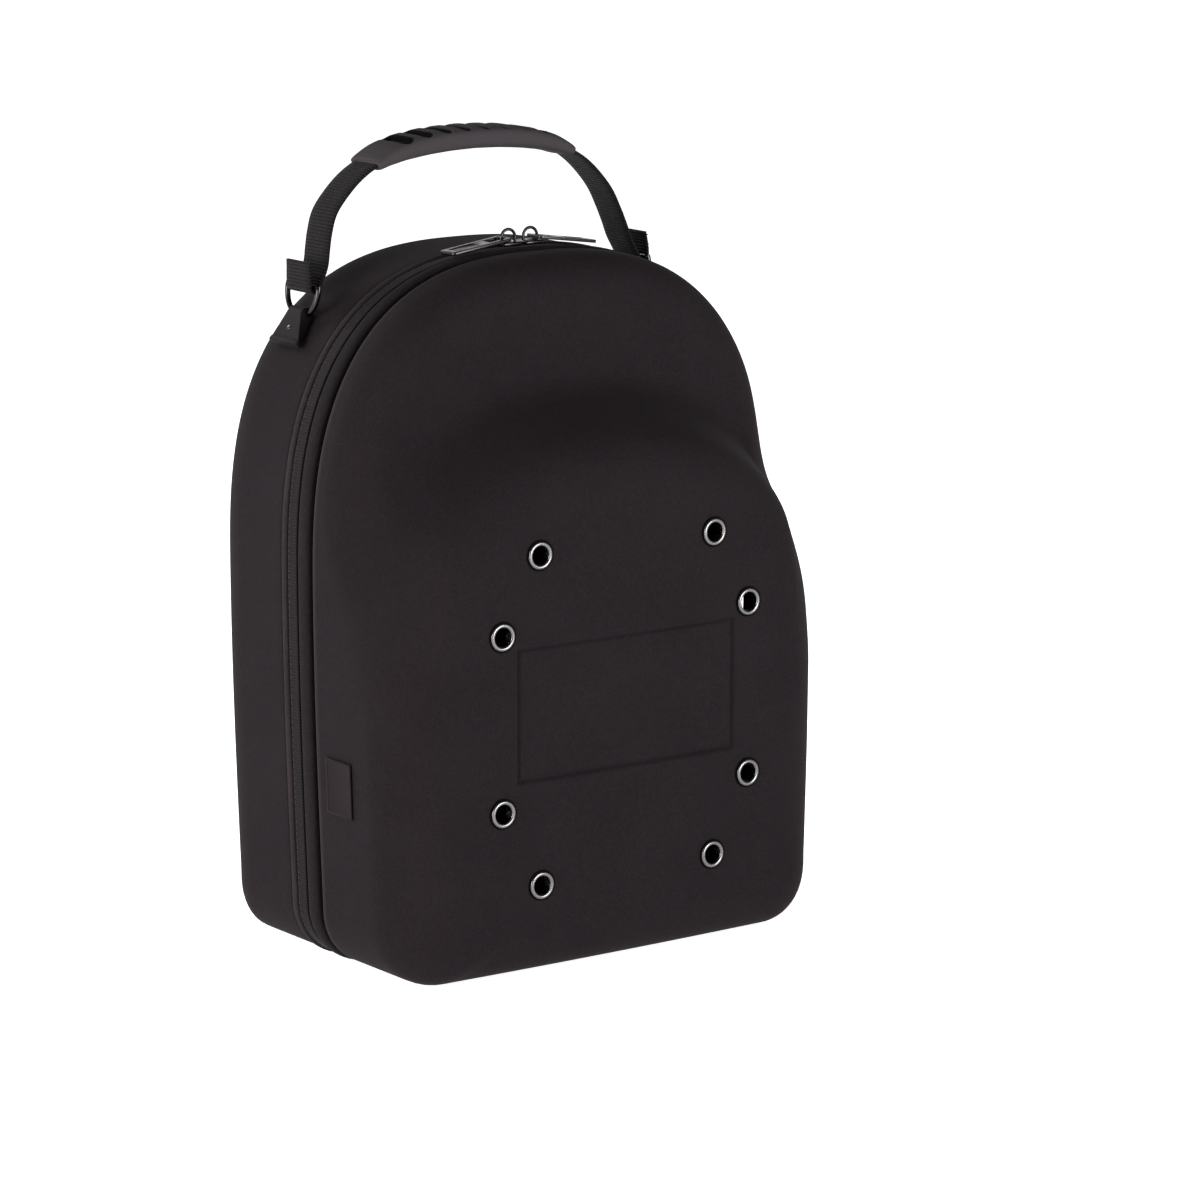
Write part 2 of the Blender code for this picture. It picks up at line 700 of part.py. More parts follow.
def grip(half):
    """Soft tube round the strap."""
    route = grip_route(half)
    bm = bmesh.new()
    outer_rows, slot_rows = [], []
    for i, (x, _) in enumerate(route):
        outer, slot = grip_sections(abs(x) / (GRIP_LENGTH / 2))
        outer_rows.append(section_row(bm, route, i, outer))
        slot_rows.append(section_row(bm, route, i, slot))
    for rows in (outer_rows, slot_rows):
        for first, second in zip(rows, rows[1:]):
            bridge(bm, first, second)
    bridge(bm, outer_rows[0], slot_rows[0])
    bridge(bm, outer_rows[-1], slot_rows[-1])
    add_object("handle_grip", mesh_from(bm, "handle_grip"), (RUBBER, 0.55), smooth=40)


def grip_size(share):
    """Width and thickness of the grip at a share of its half length."""
    for (low, low_width, low_thick), (high, high_width, high_thick) in zip(GRIP_SECTIONS, GRIP_SECTIONS[1:]):
        if share <= high + 1e-6:
            part = (share - low) / (high - low)
            return (GRIP_WIDTH * (low_width + (high_width - low_width) * part),
                    GRIP_THICKNESS * (low_thick + (high_thick - low_thick) * part))
    return GRIP_WIDTH * GRIP_SECTIONS[-1][1], GRIP_THICKNESS * GRIP_SECTIONS[-1][2]


def slider(side, name):
    """Slider body with a wire arch on top, its crown."""
    bm = bmesh.new()
    bmesh.ops.create_cube(bm, size=1)
    bmesh.ops.scale(bm, vec=(SLIDER_LENGTH, SLIDER_WIDTH, SLIDER_THICKNESS), verts=bm.verts)
    body = add_object(name, mesh_from(bm, name), (GUNMETAL, 0.3, 1.0))
    body.location = (side * SLIDER_X, 0, SLIDER_LOW + SLIDER_THICKNESS / 2)
    bevel = body.modifiers.new("edges", 'BEVEL')
    bevel.width = SLIDER_BEVEL
    bevel.segments = 1
    sunk = -CROWN_POST - SLIDER_THICKNESS / 2
    route = [(CROWN_RADIUS, sunk)] + arc(CROWN_RADIUS, 0, 0, 180, 8) + [(-CROWN_RADIUS, sunk)]
    curve = poly_curve(name, [[(side * SLIDER_X + x, 0, CROWN_Z + z) for x, z in route]], cyclic=False)
    curve.bevel_depth = CROWN_WIRE
    curve.bevel_resolution = 2
    curve.use_fill_caps = True
    wire = mesh_from(solid_from(name, curve), name + "_crown")
    crown = add_object(name + "_crown", wire, None, home=CUTTERS)
    joined = body.modifiers.new("crown", 'BOOLEAN')
    joined.operation = 'UNION'
    joined.object = crown
    joined.solver = 'EXACT'


def pull(side, name):
    """Flat pull whose inner bar is caught under the slider's crown."""
    slot_start = CROWN_RADIUS - CROWN_WIRE - CLEAR
    slot_end = slot_start + PULL_SLOT_LENGTH
    start = slot_start - PULL_BAR
    end = start + PULL_LENGTH
    half, slot_half, corner = PULL_WIDTH / 2, PULL_SLOT_WIDTH / 2, PULL_BAR
    outer = [(start, -slot_half), (start, slot_half), (start + corner, half), (end - corner, half),
             (end, half - corner), (end, corner - half), (end - corner, -half), (start + corner, -half)]
    slot = [(slot_start, -slot_half), (slot_start, slot_half), (slot_end, slot_half), (slot_end, -slot_half)]
    mirror = [[(side * x, y) for x, y in row] for row in (outer, slot)]
    made = add_object(name, mesh_from(plate(name, *mirror, PULL_THICKNESS), name), (GUNMETAL, 0.3, 1.0))
    tilt = Matrix.Rotation(math.radians(side * PULL_TILT), 4, 'Y')
    made.matrix_local = Matrix.Translation((side * SLIDER_X, 0, CROWN_Z)) @ tilt


def side_label():
    """Plain sewn label on the left wall of the front shell."""
    low = LABEL_CENTRE - CORNER_RADIUS
    share = low / (WIDEST_HEIGHT - CORNER_RADIUS)
    quarter = math.radians(90)
    x = BASE_WIDTH / 2 + (WIDTH - BASE_WIDTH) / 2 * math.sin(quarter * share)
    flare = (WIDTH - BASE_WIDTH) / 2 * math.cos(quarter * share) * quarter / (WIDEST_HEIGHT - CORNER_RADIUS)
    bm = bmesh.new()
    bmesh.ops.create_cube(bm, size=1)
    bmesh.ops.scale(bm, vec=(LABEL_THICKNESS, LABEL_DEPTH, LABEL_HEIGHT), verts=bm.verts)
    label = add_object("side_label", mesh_from(bm, "side_label"), (LABEL, 0.7))
    place = Vector((-x - SEAT - LABEL_THICKNESS / 2, FRONT_RIM - LABEL_AHEAD, LABEL_CENTRE))
    label.matrix_local = Matrix.Translation(place) @ Matrix.Rotation(-math.atan(flare), 4, 'Y')


front_shell()
back_shell()
zip_band()
hinge_tape()
eyelets()
strap(half_strap_path())
grip(half_strap_path())
for side, word in ((-1, "left"), (1, "right")):
    ring_tab(side, f"ring_tab_{word}")
    d_ring(side, f"d_ring_{word}")
    slider(side, f"slider_{word}")
    pull(side, f"pull_{word}")
side_label()
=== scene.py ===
# %% [markdown]
# # A moulded carrier case for caps
#
# This lesson dresses the plain CAD model of a cap case as the real one looks. The case is made of two shells of
# foam with cloth pressed over it, a zip that runs between them, and a webbing handle on two D-rings. The CAD
# model gives every size and place. Here each piece gets finer shapes and the finish of its own material.

# %% Load the CAD model
import json
import math

import bmesh
import bpy
import numpy as np
from mathutils import Matrix, Vector, noise

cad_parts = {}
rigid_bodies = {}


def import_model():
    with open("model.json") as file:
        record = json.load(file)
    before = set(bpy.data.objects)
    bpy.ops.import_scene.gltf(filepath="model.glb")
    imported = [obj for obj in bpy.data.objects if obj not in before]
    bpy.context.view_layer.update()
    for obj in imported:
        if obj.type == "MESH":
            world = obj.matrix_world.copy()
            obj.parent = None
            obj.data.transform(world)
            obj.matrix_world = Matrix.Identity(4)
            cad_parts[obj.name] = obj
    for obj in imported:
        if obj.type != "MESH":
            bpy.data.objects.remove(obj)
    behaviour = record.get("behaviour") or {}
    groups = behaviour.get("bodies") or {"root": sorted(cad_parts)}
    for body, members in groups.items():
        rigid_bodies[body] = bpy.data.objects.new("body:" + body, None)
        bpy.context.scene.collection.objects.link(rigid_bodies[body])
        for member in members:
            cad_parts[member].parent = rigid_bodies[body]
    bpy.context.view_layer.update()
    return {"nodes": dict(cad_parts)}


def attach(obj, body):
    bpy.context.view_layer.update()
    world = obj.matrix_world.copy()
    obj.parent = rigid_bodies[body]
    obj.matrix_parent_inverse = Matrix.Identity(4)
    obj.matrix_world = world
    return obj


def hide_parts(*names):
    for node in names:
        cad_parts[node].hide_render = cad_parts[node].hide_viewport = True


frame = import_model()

nodes = frame["nodes"]

# %% [markdown]
# ## Camera
#
# The photograph was taken from the case's left front, a little above it, with a long lens. A camera is placed
# by the three directions that it looks along, so the picture's frame follows from a few numbers.

# %% Camera
AZIMUTH, ELEVATION, ROLL = -36.0, 11.5, 0.0   # degrees
CAMERA_DISTANCE = 2.565
CAMERA_AIM = (0.050, 0.004, 0.164)
LENS = 150.0               # mm on a 36 mm sensor

bpy.ops.object.select_all(action='DESELECT')
turn, rise, roll = (math.radians(angle) for angle in (AZIMUTH, ELEVATION, ROLL))
away = Vector((math.sin(turn) * math.cos(rise), -math.cos(turn) * math.cos(rise), math.sin(rise)))
across = Vector((math.cos(turn), math.sin(turn), 0.0))
upward = away.cross(across)
across, upward = (across * math.cos(roll) + upward * math.sin(roll),
                  upward * math.cos(roll) - across * math.sin(roll))
bpy.ops.object.camera_add()
camera = bpy.context.object
camera.name = "product_camera"
camera.matrix_world = Matrix.Translation(Vector(CAMERA_AIM) + away * CAMERA_DISTANCE) @ Matrix(
    (across, upward, away)).transposed().to_4x4()
camera.data.lens = LENS
camera.data.sensor_width = 36.0
camera.data.clip_end = 20.0
bpy.context.scene.camera = camera
print("camera at", [round(value, 3) for value in camera.location])

# %% [markdown]
# ## Light and floor
#
# Catalogue pictures of black goods are lit by wide soft boxes, so that the cloth's own sheen draws its form. A
# broad light on the left front does most of the work, a second one fills the front, and a pale floor and
# surround throw a little light back from below.

# %% Floor, surround and lights


def linear(code):
    """Linear red, green and blue of an sRGB hex colour."""
    parts = [int(code[i:i + 2], 16) / 255 for i in (0, 2, 4)]
    return tuple(part / 12.92 if part <= 0.04045 else ((part + 0.055) / 1.055) ** 2.4 for part in parts)


def add_node(tree, kind, settings=(), **links):
    """One node. settings are (name or input number, value) pairs; links are input name to output socket."""
    made = tree.nodes.new("ShaderNode" + kind)
    for name, value in settings:
        if isinstance(name, str) and hasattr(made, name):
            setattr(made, name, value)
        else:
            made.inputs[name].default_value = value
    for name, source in links.items():
        socket = made.inputs[int(name[1:])] if name[0] == "i" and name[1:].isdigit() else \
            made.inputs[name.replace("_", " ")]
        tree.links.new(source, socket)
    return made


def new_finish(name, code, roughness, metallic=0.0, **extra):
    """A material with its Principled shader set, as (material, tree, shader)."""
    finish = bpy.data.materials.new(name)
    finish.use_nodes = True
    shader = finish.node_tree.nodes["Principled BSDF"]
    shader.inputs["Base Color"].default_value = (*linear(code), 1)
    shader.inputs["Roughness"].default_value = roughness
    shader.inputs["Metallic"].default_value = metallic
    for words, value in extra.items():
        shader.inputs[words.replace("_", " ")].default_value = value
    finish.diffuse_color = (*linear(code), 1)
    return finish, finish.node_tree, shader


FLOOR_SIZE = 8.0
bpy.ops.mesh.primitive_plane_add(size=FLOOR_SIZE)
floor = bpy.context.object
floor.name = "studio_floor"
floor_paint, _, _ = new_finish("matte_white_paint", "fafafa", 0.9, Emission_Color=(1, 1, 1, 1), Emission_Strength=0.76)
floor.data.materials.append(floor_paint)

world = bpy.data.worlds.new("studio_surround")
world.use_nodes = True
direction = add_node(world.node_tree, "TexCoord")
height = add_node(world.node_tree, "SeparateXYZ", Vector=direction.outputs["Generated"])
glow = add_node(world.node_tree, "MapRange", [("From Min", 0.05), ("From Max", 0.60), ("To Min", 1.06), ("To Max", 0.18)],
                Value=height.outputs[2])
surround = world.node_tree.nodes["Background"]
surround.inputs["Color"].default_value = (1.0, 1.0, 1.0, 1)
world.node_tree.links.new(glow.outputs[0], surround.inputs["Strength"])
bpy.context.scene.world = world
bpy.context.scene.view_settings.view_transform = 'Standard'

LIGHTS = [
    # name, place, size in metres, watts
    ("left_soft_box", (-2.1, 0.0, 0.40), 1.2, 70.0),
    ("front_soft_box", (0.6, -2.3, 0.30), 1.2, 86.0),
    ("rear_top_box", (-0.7, 1.7, 1.4), 1.0, 32.0),
]
for name, place, size, watts in LIGHTS:
    bpy.ops.object.light_add(type='AREA', location=place)
    lamp = bpy.context.object
    lamp.name = name
    lamp.data.size = size
    lamp.data.energy = watts
    lamp.rotation_euler = (Vector((0, 0, 0.2)) - Vector(place)).to_track_quat('-Z', 'Y').to_euler()
print("lights:", [name for name, *_ in LIGHTS])

# %% [markdown]
# ## Sizes
#
# The visible skins follow the same outline and depths as the CAD shells, so the sizes are repeated here in
# metres. The outline has a flat bottom, two rounded corners, gently bowed sides and an arch.

# %% Sizes and outline
WIDTH, BASE_WIDTH, HEIGHT = 0.268, 0.260, 0.350
WIDEST_HEIGHT, CORNER_RADIUS, ARCH_POWER = 0.195, 0.031, 2.60
SLIT_Y = 0.004             # the plane where the zip tapes meet
FRONT_RIM = SLIT_Y - 0.0136
BACK_RIM = SLIT_Y + 0.0135
WALL = 0.003
FRONT_DEPTH, LID_DEPTH, BACK_DEPTH, FACE_BOW = 0.0790, 0.0285, 0.0725, 0.0030
BULGE_BASE, BULGE_TOP, BULGE_POWER, BULGE_ROUND = 0.150, 0.274, 2.2, 0.030
BULGE_CLIFF, FOLD = 2.5, 0.022
LID_ROUND, SIDE_ROUND, FOOT_ROUND, BACK_ROUND, BACK_FOOT_ROUND = 0.020, 0.032, 0.026, 0.034, 0.019
FACE_POLE, SPINE_LOW, SPINE_HIGH = 0.150, 0.085, 0.215
AROUND = 300               # columns round the outline


def smooth_step(share):
    share = min(max(share, 0.0), 1.0)
    return share * share * (3 - 2 * share)


def arch_height(x):
    share = min(abs(x) / (WIDTH / 2), 1.0)
    return WIDEST_HEIGHT + (HEIGHT - WIDEST_HEIGHT) * (1 - share ** ARCH_POWER) ** (1 / ARCH_POWER)


def half_outline():
    """Right half of the outline as (x, z), finely stepped, from the bottom centre to the top."""
    flat = BASE_WIDTH / 2 - CORNER_RADIUS
    points = [(flat * i / 20, 0.0) for i in range(20)]
    for i in range(40):
        angle = math.radians(90) * i / 40
        points.append((flat + CORNER_RADIUS * math.sin(angle), CORNER_RADIUS * (1 - math.cos(angle))))
    for i in range(40):
        x = BASE_WIDTH / 2 + (WIDTH - BASE_WIDTH) / 2 * math.sin(math.radians(90) * i / 40)
        points.append((x, CORNER_RADIUS + (WIDEST_HEIGHT - CORNER_RADIUS) * i / 40))
    for i in range(200):
        angle = math.radians(90) * i / 200
        run, up = math.cos(angle) / (WIDTH / 2), math.sin(angle) / (HEIGHT - WIDEST_HEIGHT)
        reach = (run ** ARCH_POWER + up ** ARCH_POWER) ** (-1 / ARCH_POWER)
        points.append((reach * math.cos(angle), WIDEST_HEIGHT + reach * math.sin(angle)))
    return points + [(0.0, HEIGHT)]


def even_outline(count):
    """Evenly spaced outline points with outward normals, anticlockwise from the bottom centre."""
    right = half_outline()
    whole = np.array(right + [(-x, z) for x, z in reversed(right[:-1])])
    lengths = np.concatenate([[0], np.cumsum(np.hypot(*np.diff(whole, axis=0).T))])
    wanted = np.linspace(0, lengths[-1], count + 1)[:-1]
    points = np.stack([np.interp(wanted, lengths, whole[:, axis]) for axis in (0, 1)], axis=1)
    along = np.roll(points, -1, axis=0) - np.roll(points, 1, axis=0)
    along /= np.hypot(*along.T)[:, None]
    return points, np.stack([along[:, 1], -along[:, 0]], axis=1), lengths[-1]


OUTLINE, OUTWARD, GIRTH = even_outline(AROUND)
print("outline length in mm:", round(GIRTH * 1000))

# %% [markdown]
# ## A sheet of points
#
# Most pieces of this case are smooth skins: shells, tapes, straps and tubes. Each starts as a grid primitive.
# Its points are moved to the places that a function gives, row by row, and then the edges that meet are merged
# and the faces are turned outward in edit mode.

# %% Helpers for making pieces


def alone(piece):
    """Selects one object only, and makes it active."""
    bpy.ops.object.select_all(action='DESELECT')
    piece.select_set(True)
    bpy.context.view_layer.objects.active = piece


def select_none(piece, kind):
    """Makes a piece ready for its faces or edges to be selected one by one."""
    alone(piece)
    bpy.ops.object.mode_set(mode='EDIT')
    bpy.ops.mesh.select_mode(type=kind)
    bpy.ops.mesh.select_all(action='DESELECT')
    bpy.ops.object.mode_set(mode='OBJECT')


def tidy_mesh(piece, smooth):
    """Merges points that meet, turns faces outward and shades smooth below an angle in degrees."""
    alone(piece)
    bpy.ops.object.mode_set(mode='EDIT')
    bpy.ops.mesh.select_all(action='SELECT')
    bpy.ops.mesh.remove_doubles(threshold=0.000002)
    bpy.ops.mesh.normals_make_consistent(inside=False)
    bpy.ops.object.mode_set(mode='OBJECT')
    bpy.ops.object.shade_smooth_by_angle(angle=math.radians(smooth))


def skin(name, columns, rows, place, smooth=40):
    """A grid of columns by rows faces whose point (i, j) is moved to place(i, j)."""
    bpy.ops.object.select_all(action='DESELECT')
    bpy.ops.mesh.primitive_grid_add(x_subdivisions=columns, y_subdivisions=rows, size=1)
    piece = bpy.context.object
    piece.name = piece.data.name = name
    for vert in piece.data.vertices:
        i, j = round((vert.co.x + 0.5) * columns), round((vert.co.y + 0.5) * rows)
        vert.co = place(i, j)
    tidy_mesh(piece, smooth)
    return piece


def apply_modifier(piece, kind, **settings):
    alone(piece)
    added = piece.modifiers.new(kind.lower(), kind)
    for name, value in settings.items():
        setattr(added, name, value)
    bpy.ops.object.modifier_apply(modifier=added.name)


def settle(piece, finish, body="root", replaced=()):
    """Puts a piece's place into its mesh, gives it its finish and lets it ride on its body."""
    alone(piece)
    bpy.ops.object.transform_apply(location=True, rotation=True, scale=True)
    piece.data.materials.clear()
    piece.data.materials.append(finish)
    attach(piece, body)
    if replaced:
        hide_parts(*replaced)
    print(piece.name, "faces:", len(piece.data.polygons))
    return piece


# %% [markdown]
# ## Shell cloth
#
# Both shells are foam with a polyester cloth pressed over it in a hot mould. The press closes the weave, so the
# cloth looks like one dense matte skin with a fine grain, and a soft sheen where it turns away from the eye.
# Threads are about 0.4 mm, too fine to show at this size, so the grain is drawn at about 1 mm.

# %% Shell cloth
GRAIN = 1 / 0.0011         # one grain every 1.1 mm


def pressed_cloth(name, code, light_code, grain, depth, rim_highlight_code=None):
    """Dense cloth: two mixed tones, a fine grain, a slow unevenness and, if a colour is given, a painted rim
    highlight.
    """
    finish, tree, shader = new_finish(name, code, 0.82, Sheen_Weight=0.02, Sheen_Roughness=0.45,
                                      Specular_IOR_Level=0.03)
    shader.inputs["Sheen Tint"].default_value = (*linear("c9bfc6"), 1)
    place = add_node(tree, "TexCoord")
    fine = add_node(tree, "TexNoise", [("Scale", grain), ("Detail", 3.0), ("Roughness", 0.65)],
                    Vector=place.outputs["Object"])
    slow = add_node(tree, "TexNoise", [("Scale", 28.0), ("Detail", 2.0)], Vector=place.outputs["Object"])
    both = add_node(tree, "Math", [("operation", 'MULTIPLY_ADD'), (1, 0.25)],
                    i0=slow.outputs["Fac"], i2=fine.outputs["Fac"])
    tone = add_node(tree, "ValToRGB", Fac=both.outputs[0])
    tone.color_ramp.elements[0].position = 0.45
    tone.color_ramp.elements[0].color = (*linear(code), 1)
    tone.color_ramp.elements[1].position = 0.80
    tone.color_ramp.elements[1].color = (*linear(light_code), 1)
    cloth = tone.outputs["Color"]
    # Painted highlight: a paler band along the front rim stands in for the light that the rolled edge catches.
    if rim_highlight_code:
        split = add_node(tree, "SeparateXYZ", Vector=place.outputs["Object"])
        rim = add_node(tree, "MapRange", [("From Min", FRONT_RIM - 0.0042), ("From Max", FRONT_RIM - 0.0012),
                                          ("To Max", 0.8)], Value=split.outputs[1])
        painted_rim_highlight = add_node(tree, "MixRGB", [(2, (*linear(rim_highlight_code), 1))], i0=rim.outputs[0], i1=cloth)
        cloth = painted_rim_highlight.outputs[0]
    tree.links.new(cloth, shader.inputs["Base Color"])
    bump = add_node(tree, "Bump", [("Strength", 0.35), ("Distance", depth)], Height=fine.outputs["Fac"])
    tree.links.new(bump.outputs["Normal"], shader.inputs["Normal"])
    return finish


shell_cloth = pressed_cloth("pressed_polyester_cloth", "141012", "1b1719", GRAIN, 0.0006)
# The front shell's cloth carries the painted rim highlight in colour 2a2527.
front_cloth = pressed_cloth("pressed_cloth_with_painted_rim_highlight", "141012", "1b1719", GRAIN, 0.0006, "2a2527")

# %% [markdown]
# ## Front shell
#
# The front shell is deep over the crowns of the caps and steps back to a flatter lid. Its skin runs from the rim
# over a rounded edge to the middle of the face, in rings that shrink towards one point. At every place the
# depth is the larger of bulge and lid, blended softly in the hollow between them.

# %% Front shell
RIM_ROWS = [(0.0, 0.0012), (0.0004, 0.0005), (0.0010, 0.0001), (0.0017, 0.0)]   # depth, inset of the rolled rim
WALL_ROWS, ROLL_ROWS, FACE_ROWS = 10, 18, 60
BLEND = 0.012              # softens the ridge where two round edges meet
SOFT_WIDTH = 0.036         # how wide the bulge's edge is smoothed
EDGE_ROUNDS, SHOULDER_ROUNDS = 11, 48   # how often the bulge's edge and its outer corners are smoothed
DENT = 0.00035             # how far the pressed face wanders from the true shape


def edge_drop(inset, radius):
    """How far a rounded edge lies below its face, at a distance inside the edge."""
    if inset <= 0:
        return radius - BULGE_CLIFF * inset
    return radius - math.sqrt(radius ** 2 - (radius - inset) ** 2) if inset < radius else 0.0


def bulge_inset(x, z):
    """Distance inside the bulge's edge, negative outside."""
    side = abs(x) / (WIDTH / 2)
    up = max(z - BULGE_BASE, 0.0)
    gauge = (side ** BULGE_POWER + (up / (BULGE_TOP - BULGE_BASE)) ** BULGE_POWER) ** (1 / BULGE_POWER)
    return math.hypot(x, up) * (1 / gauge - 1) if gauge > 0.001 else WIDTH


def face_depth(x, z, inset=WIDTH, edge=0.0):
    """How far the front stands ahead of its rim."""
    side = abs(x) / (WIDTH / 2)
    within = bulge_inset(x, z)
    drops = edge_drop(inset, edge), edge_drop(within, BULGE_ROUND)
    near = max(1 - abs(drops[0] - drops[1]) / BLEND, 0.0) if min(drops) > 0 else 0.0
    bulge = FRONT_DEPTH - FACE_BOW * side ** 2 - max(drops) - BLEND * near ** 2 / 4 * min(min(drops) / BLEND, 1.0)
    lid = LID_DEPTH - edge_drop(inset, LID_ROUND)
    share = min(max(0.5 + (bulge - lid) / (2 * FOLD), 0.0), 1.0)
    return lid + (bulge - lid) * share + FOLD * share * (1 - share)


def inner_point(i, inset):
    """Outline point i moved towards the spine until it is inset inside the outline."""
    (x, z), (run, up) = OUTLINE[i], OUTWARD[i]
    aim = Vector((-x, min(max(z, SPINE_LOW), SPINE_HIGH) - z)).normalized()
    reach = inset / -(aim.x * run + aim.y * up)
    return x + aim.x * reach, z + aim.y * reach


def front_edge(i):
    """Edge radius of the front shell at outline point i."""
    high = smooth_step((OUTLINE[i][1] - BULGE_BASE) / (BULGE_TOP - BULGE_BASE))
    radius = SIDE_ROUND + (LID_ROUND - SIDE_ROUND) * high
    return radius + (FOOT_ROUND - radius) * max(-OUTWARD[i][1], 0.0) ** 2


def dent(x, z):
    """Slow unevenness of the pressed foam."""
    return DENT * noise.noise(Vector((x * 22, z * 22, 4.0)))


def front_place(i, j):
    i %= AROUND
    radius = front_edge(i)
    if j < len(RIM_ROWS):
        depth, inset = RIM_ROWS[j]
        x, z = inner_point(i, inset)
        return x, FRONT_RIM - depth, z
    j -= len(RIM_ROWS) - 1
    if j <= WALL_ROWS:
        x, z = OUTLINE[i]
        start = RIM_ROWS[-1][0]
        return x, FRONT_RIM - start - (face_depth(x, z, 0.0, radius) - start) * j / WALL_ROWS, z
    j -= WALL_ROWS
    if j <= ROLL_ROWS:
        inset = radius * (1 - math.cos(math.radians(90) * j / ROLL_ROWS))
        x, z = inner_point(i, inset)
        return x, FRONT_RIM - face_depth(x, z, inset, radius) + dent(x, z) * j / ROLL_ROWS, z
    share = (j - ROLL_ROWS) / FACE_ROWS
    edge_x, edge_z = inner_point(i, radius)
    x, z = edge_x * (1 - share), edge_z + (FACE_POLE - edge_z) * share
    inset = radius + math.hypot(edge_x, edge_z - FACE_POLE) * share
    return x, FRONT_RIM - face_depth(x, z, inset, radius) + dent(x, z), z


def soften(piece, weights_at, rounds):
    """Moves each point towards the mean of its neighbours, by a weight along x, y and z."""
    mesh = piece.data
    ends = np.array([edge.vertices[:] for edge in mesh.edges])
    coords = np.array([vert.co[:] for vert in mesh.vertices])
    weights = np.array([weights_at(vert.co) for vert in mesh.vertices]) / 2
    links = np.bincount(ends.ravel(), minlength=len(coords))
    for _ in range(rounds):
        for axis in range(3):
            values = coords[:, axis]
            sums = (np.bincount(ends[:, 0], values[ends[:, 1]], len(values))
                    + np.bincount(ends[:, 1], values[ends[:, 0]], len(values)))
            coords[:, axis] = values + weights[:, axis] * (sums / links - values)
    for vert, co in zip(mesh.vertices, coords):
        vert.co = co


def shoulder_softness(co):
    """How much the corner between the side wall and the bulge is rounded."""
    return (smooth_step((abs(co.x) / (WIDTH / 2) - 0.78) / 0.1) * smooth_step((co.z - 0.135) / 0.03)
            * smooth_step((0.285 - co.z) / 0.04) * smooth_step((FRONT_RIM - 0.010 - co.y) / 0.014))


def softness(x, z):
    """How much a point is smoothed: fully round the bulge's edge, not at all at the rim and on the face."""
    within = bulge_inset(x, z)
    rim = smooth_step((1 - abs(x) / (WIDTH / 2)) / 0.06) * smooth_step((arch_height(x) - z) / 0.02)
    return smooth_step((SOFT_WIDTH - abs(within)) / 0.012) * rim * smooth_step((z - BULGE_BASE) / 0.04 + 1)


front = skin("front_shell_skin", AROUND, len(RIM_ROWS) - 1 + WALL_ROWS + ROLL_ROWS + FACE_ROWS, front_place)
soften(front, lambda co: (0, softness(co.x, co.z), 0), EDGE_ROUNDS)
soften(front, lambda co: (shoulder_softness(co),) * 3, SHOULDER_ROUNDS)
apply_modifier(front, 'SOLIDIFY', thickness=WALL, offset=-1, use_quality_normals=True)
print("front shell box in mm:", [round(value * 1000, 1) for value in front.dimensions])

# %% [markdown]
# ## Pressed panel
#
# A plain rectangle is pressed into the front between the eyelets, with a fine line pressed along its edge. Only
# the faces near the rectangle's border are subdivided, so the mesh stays light elsewhere, and the points there
# are then moved to the panel's own profile.

# %% Pressed panel
PANEL_WIDTH, PANEL_HEIGHT, PANEL_CENTRE, PANEL_SINK = 0.131, 0.066, 0.135, 0.0008
PANEL_SLOPE = 0.0016       # width of the sloped border
GROOVE_DEPTH, GROOVE_WIDTH = 0.0013, 0.0012   # the line pressed along its edge
BORDER = 0.0036            # width of the strip that gets finer faces


def panel_inset(x, z):
    """Distance inside the panel's edge, negative outside."""
    return min(PANEL_WIDTH / 2 - abs(x), PANEL_HEIGHT / 2 - abs(z - PANEL_CENTRE))


def panel_sink(x, z):
    inset = panel_inset(x, z)
    groove = GROOVE_DEPTH * math.exp(-(inset / GROOVE_WIDTH) ** 2)
    return PANEL_SINK * smooth_step(inset / PANEL_SLOPE + 0.5) + groove


def on_face(co):
    """True for points of the outer skin."""
    return abs(co.y - (FRONT_RIM - face_depth(co.x, co.z))) < 2 * DENT


select_none(front, 'FACE')
for face in front.data.polygons:
    face.select = abs(panel_inset(face.center.x, face.center.z)) < BORDER and on_face(face.center)
bpy.ops.object.mode_set(mode='EDIT')
bpy.ops.mesh.subdivide(number_cuts=4)
bpy.ops.object.mode_set(mode='OBJECT')
for vert in front.data.vertices:
    if panel_inset(vert.co.x, vert.co.z) > -BORDER and on_face(vert.co):
        x, z = vert.co.x, vert.co.z
        vert.co.y = FRONT_RIM - face_depth(x, z) + dent(x, z) + panel_sink(x, z)

# %% [markdown]
# ## Eyelets
#
# Eight plated steel eyelets let air through the front. Each is a tube with a bright rolled lip, and a near-black
# ring round it is painted shade where the lip meets the cloth. One profile is spun into a ring, and copies of it
# are set square to the bowed face. The punched holes are cut from the shell first.

# %% Eyelet metal
eyelet_steel, tree, shader = new_finish("nickel_plated_steel", "6c6a69", 0.2, metallic=1.0)
spot = add_node(tree, "TexCoord")
scuff = add_node(tree, "TexNoise", [("Scale", 700.0), ("Detail", 4.0)], Vector=spot.outputs["Object"])
dull = add_node(tree, "MapRange", [("To Min", 0.18), ("To Max", 0.36)], Value=scuff.outputs["Fac"])
tree.links.new(dull.outputs[0], shader.inputs["Roughness"])

# %% Eyelets
HOLE_RADIUS, FLANGE_RADIUS, FLANGE_THICKNESS, BARREL_WALL, SEAT = 0.0048, 0.0076, 0.0009, 0.0005, 0.0005
EYELETS = [(0.0530, 0.2135), (0.0750, 0.1755), (0.0750, 0.0875), (0.0525, 0.0485)]


def eyelet_frame(side, x, z):
    """Place and turn of an eyelet, its own +Z out of the face."""
    step = FLANGE_RADIUS
    slope = (face_depth(x + step, z) - face_depth(x - step, z)) / (2 * step)
    out = Vector((-side * slope, -1, 0)).normalized()
    place = Vector((side * x, FRONT_RIM - face_depth(x, z), z))
    return Matrix.Translation(place) @ Vector((0, 0, 1)).rotation_difference(out).to_matrix().to_4x4()


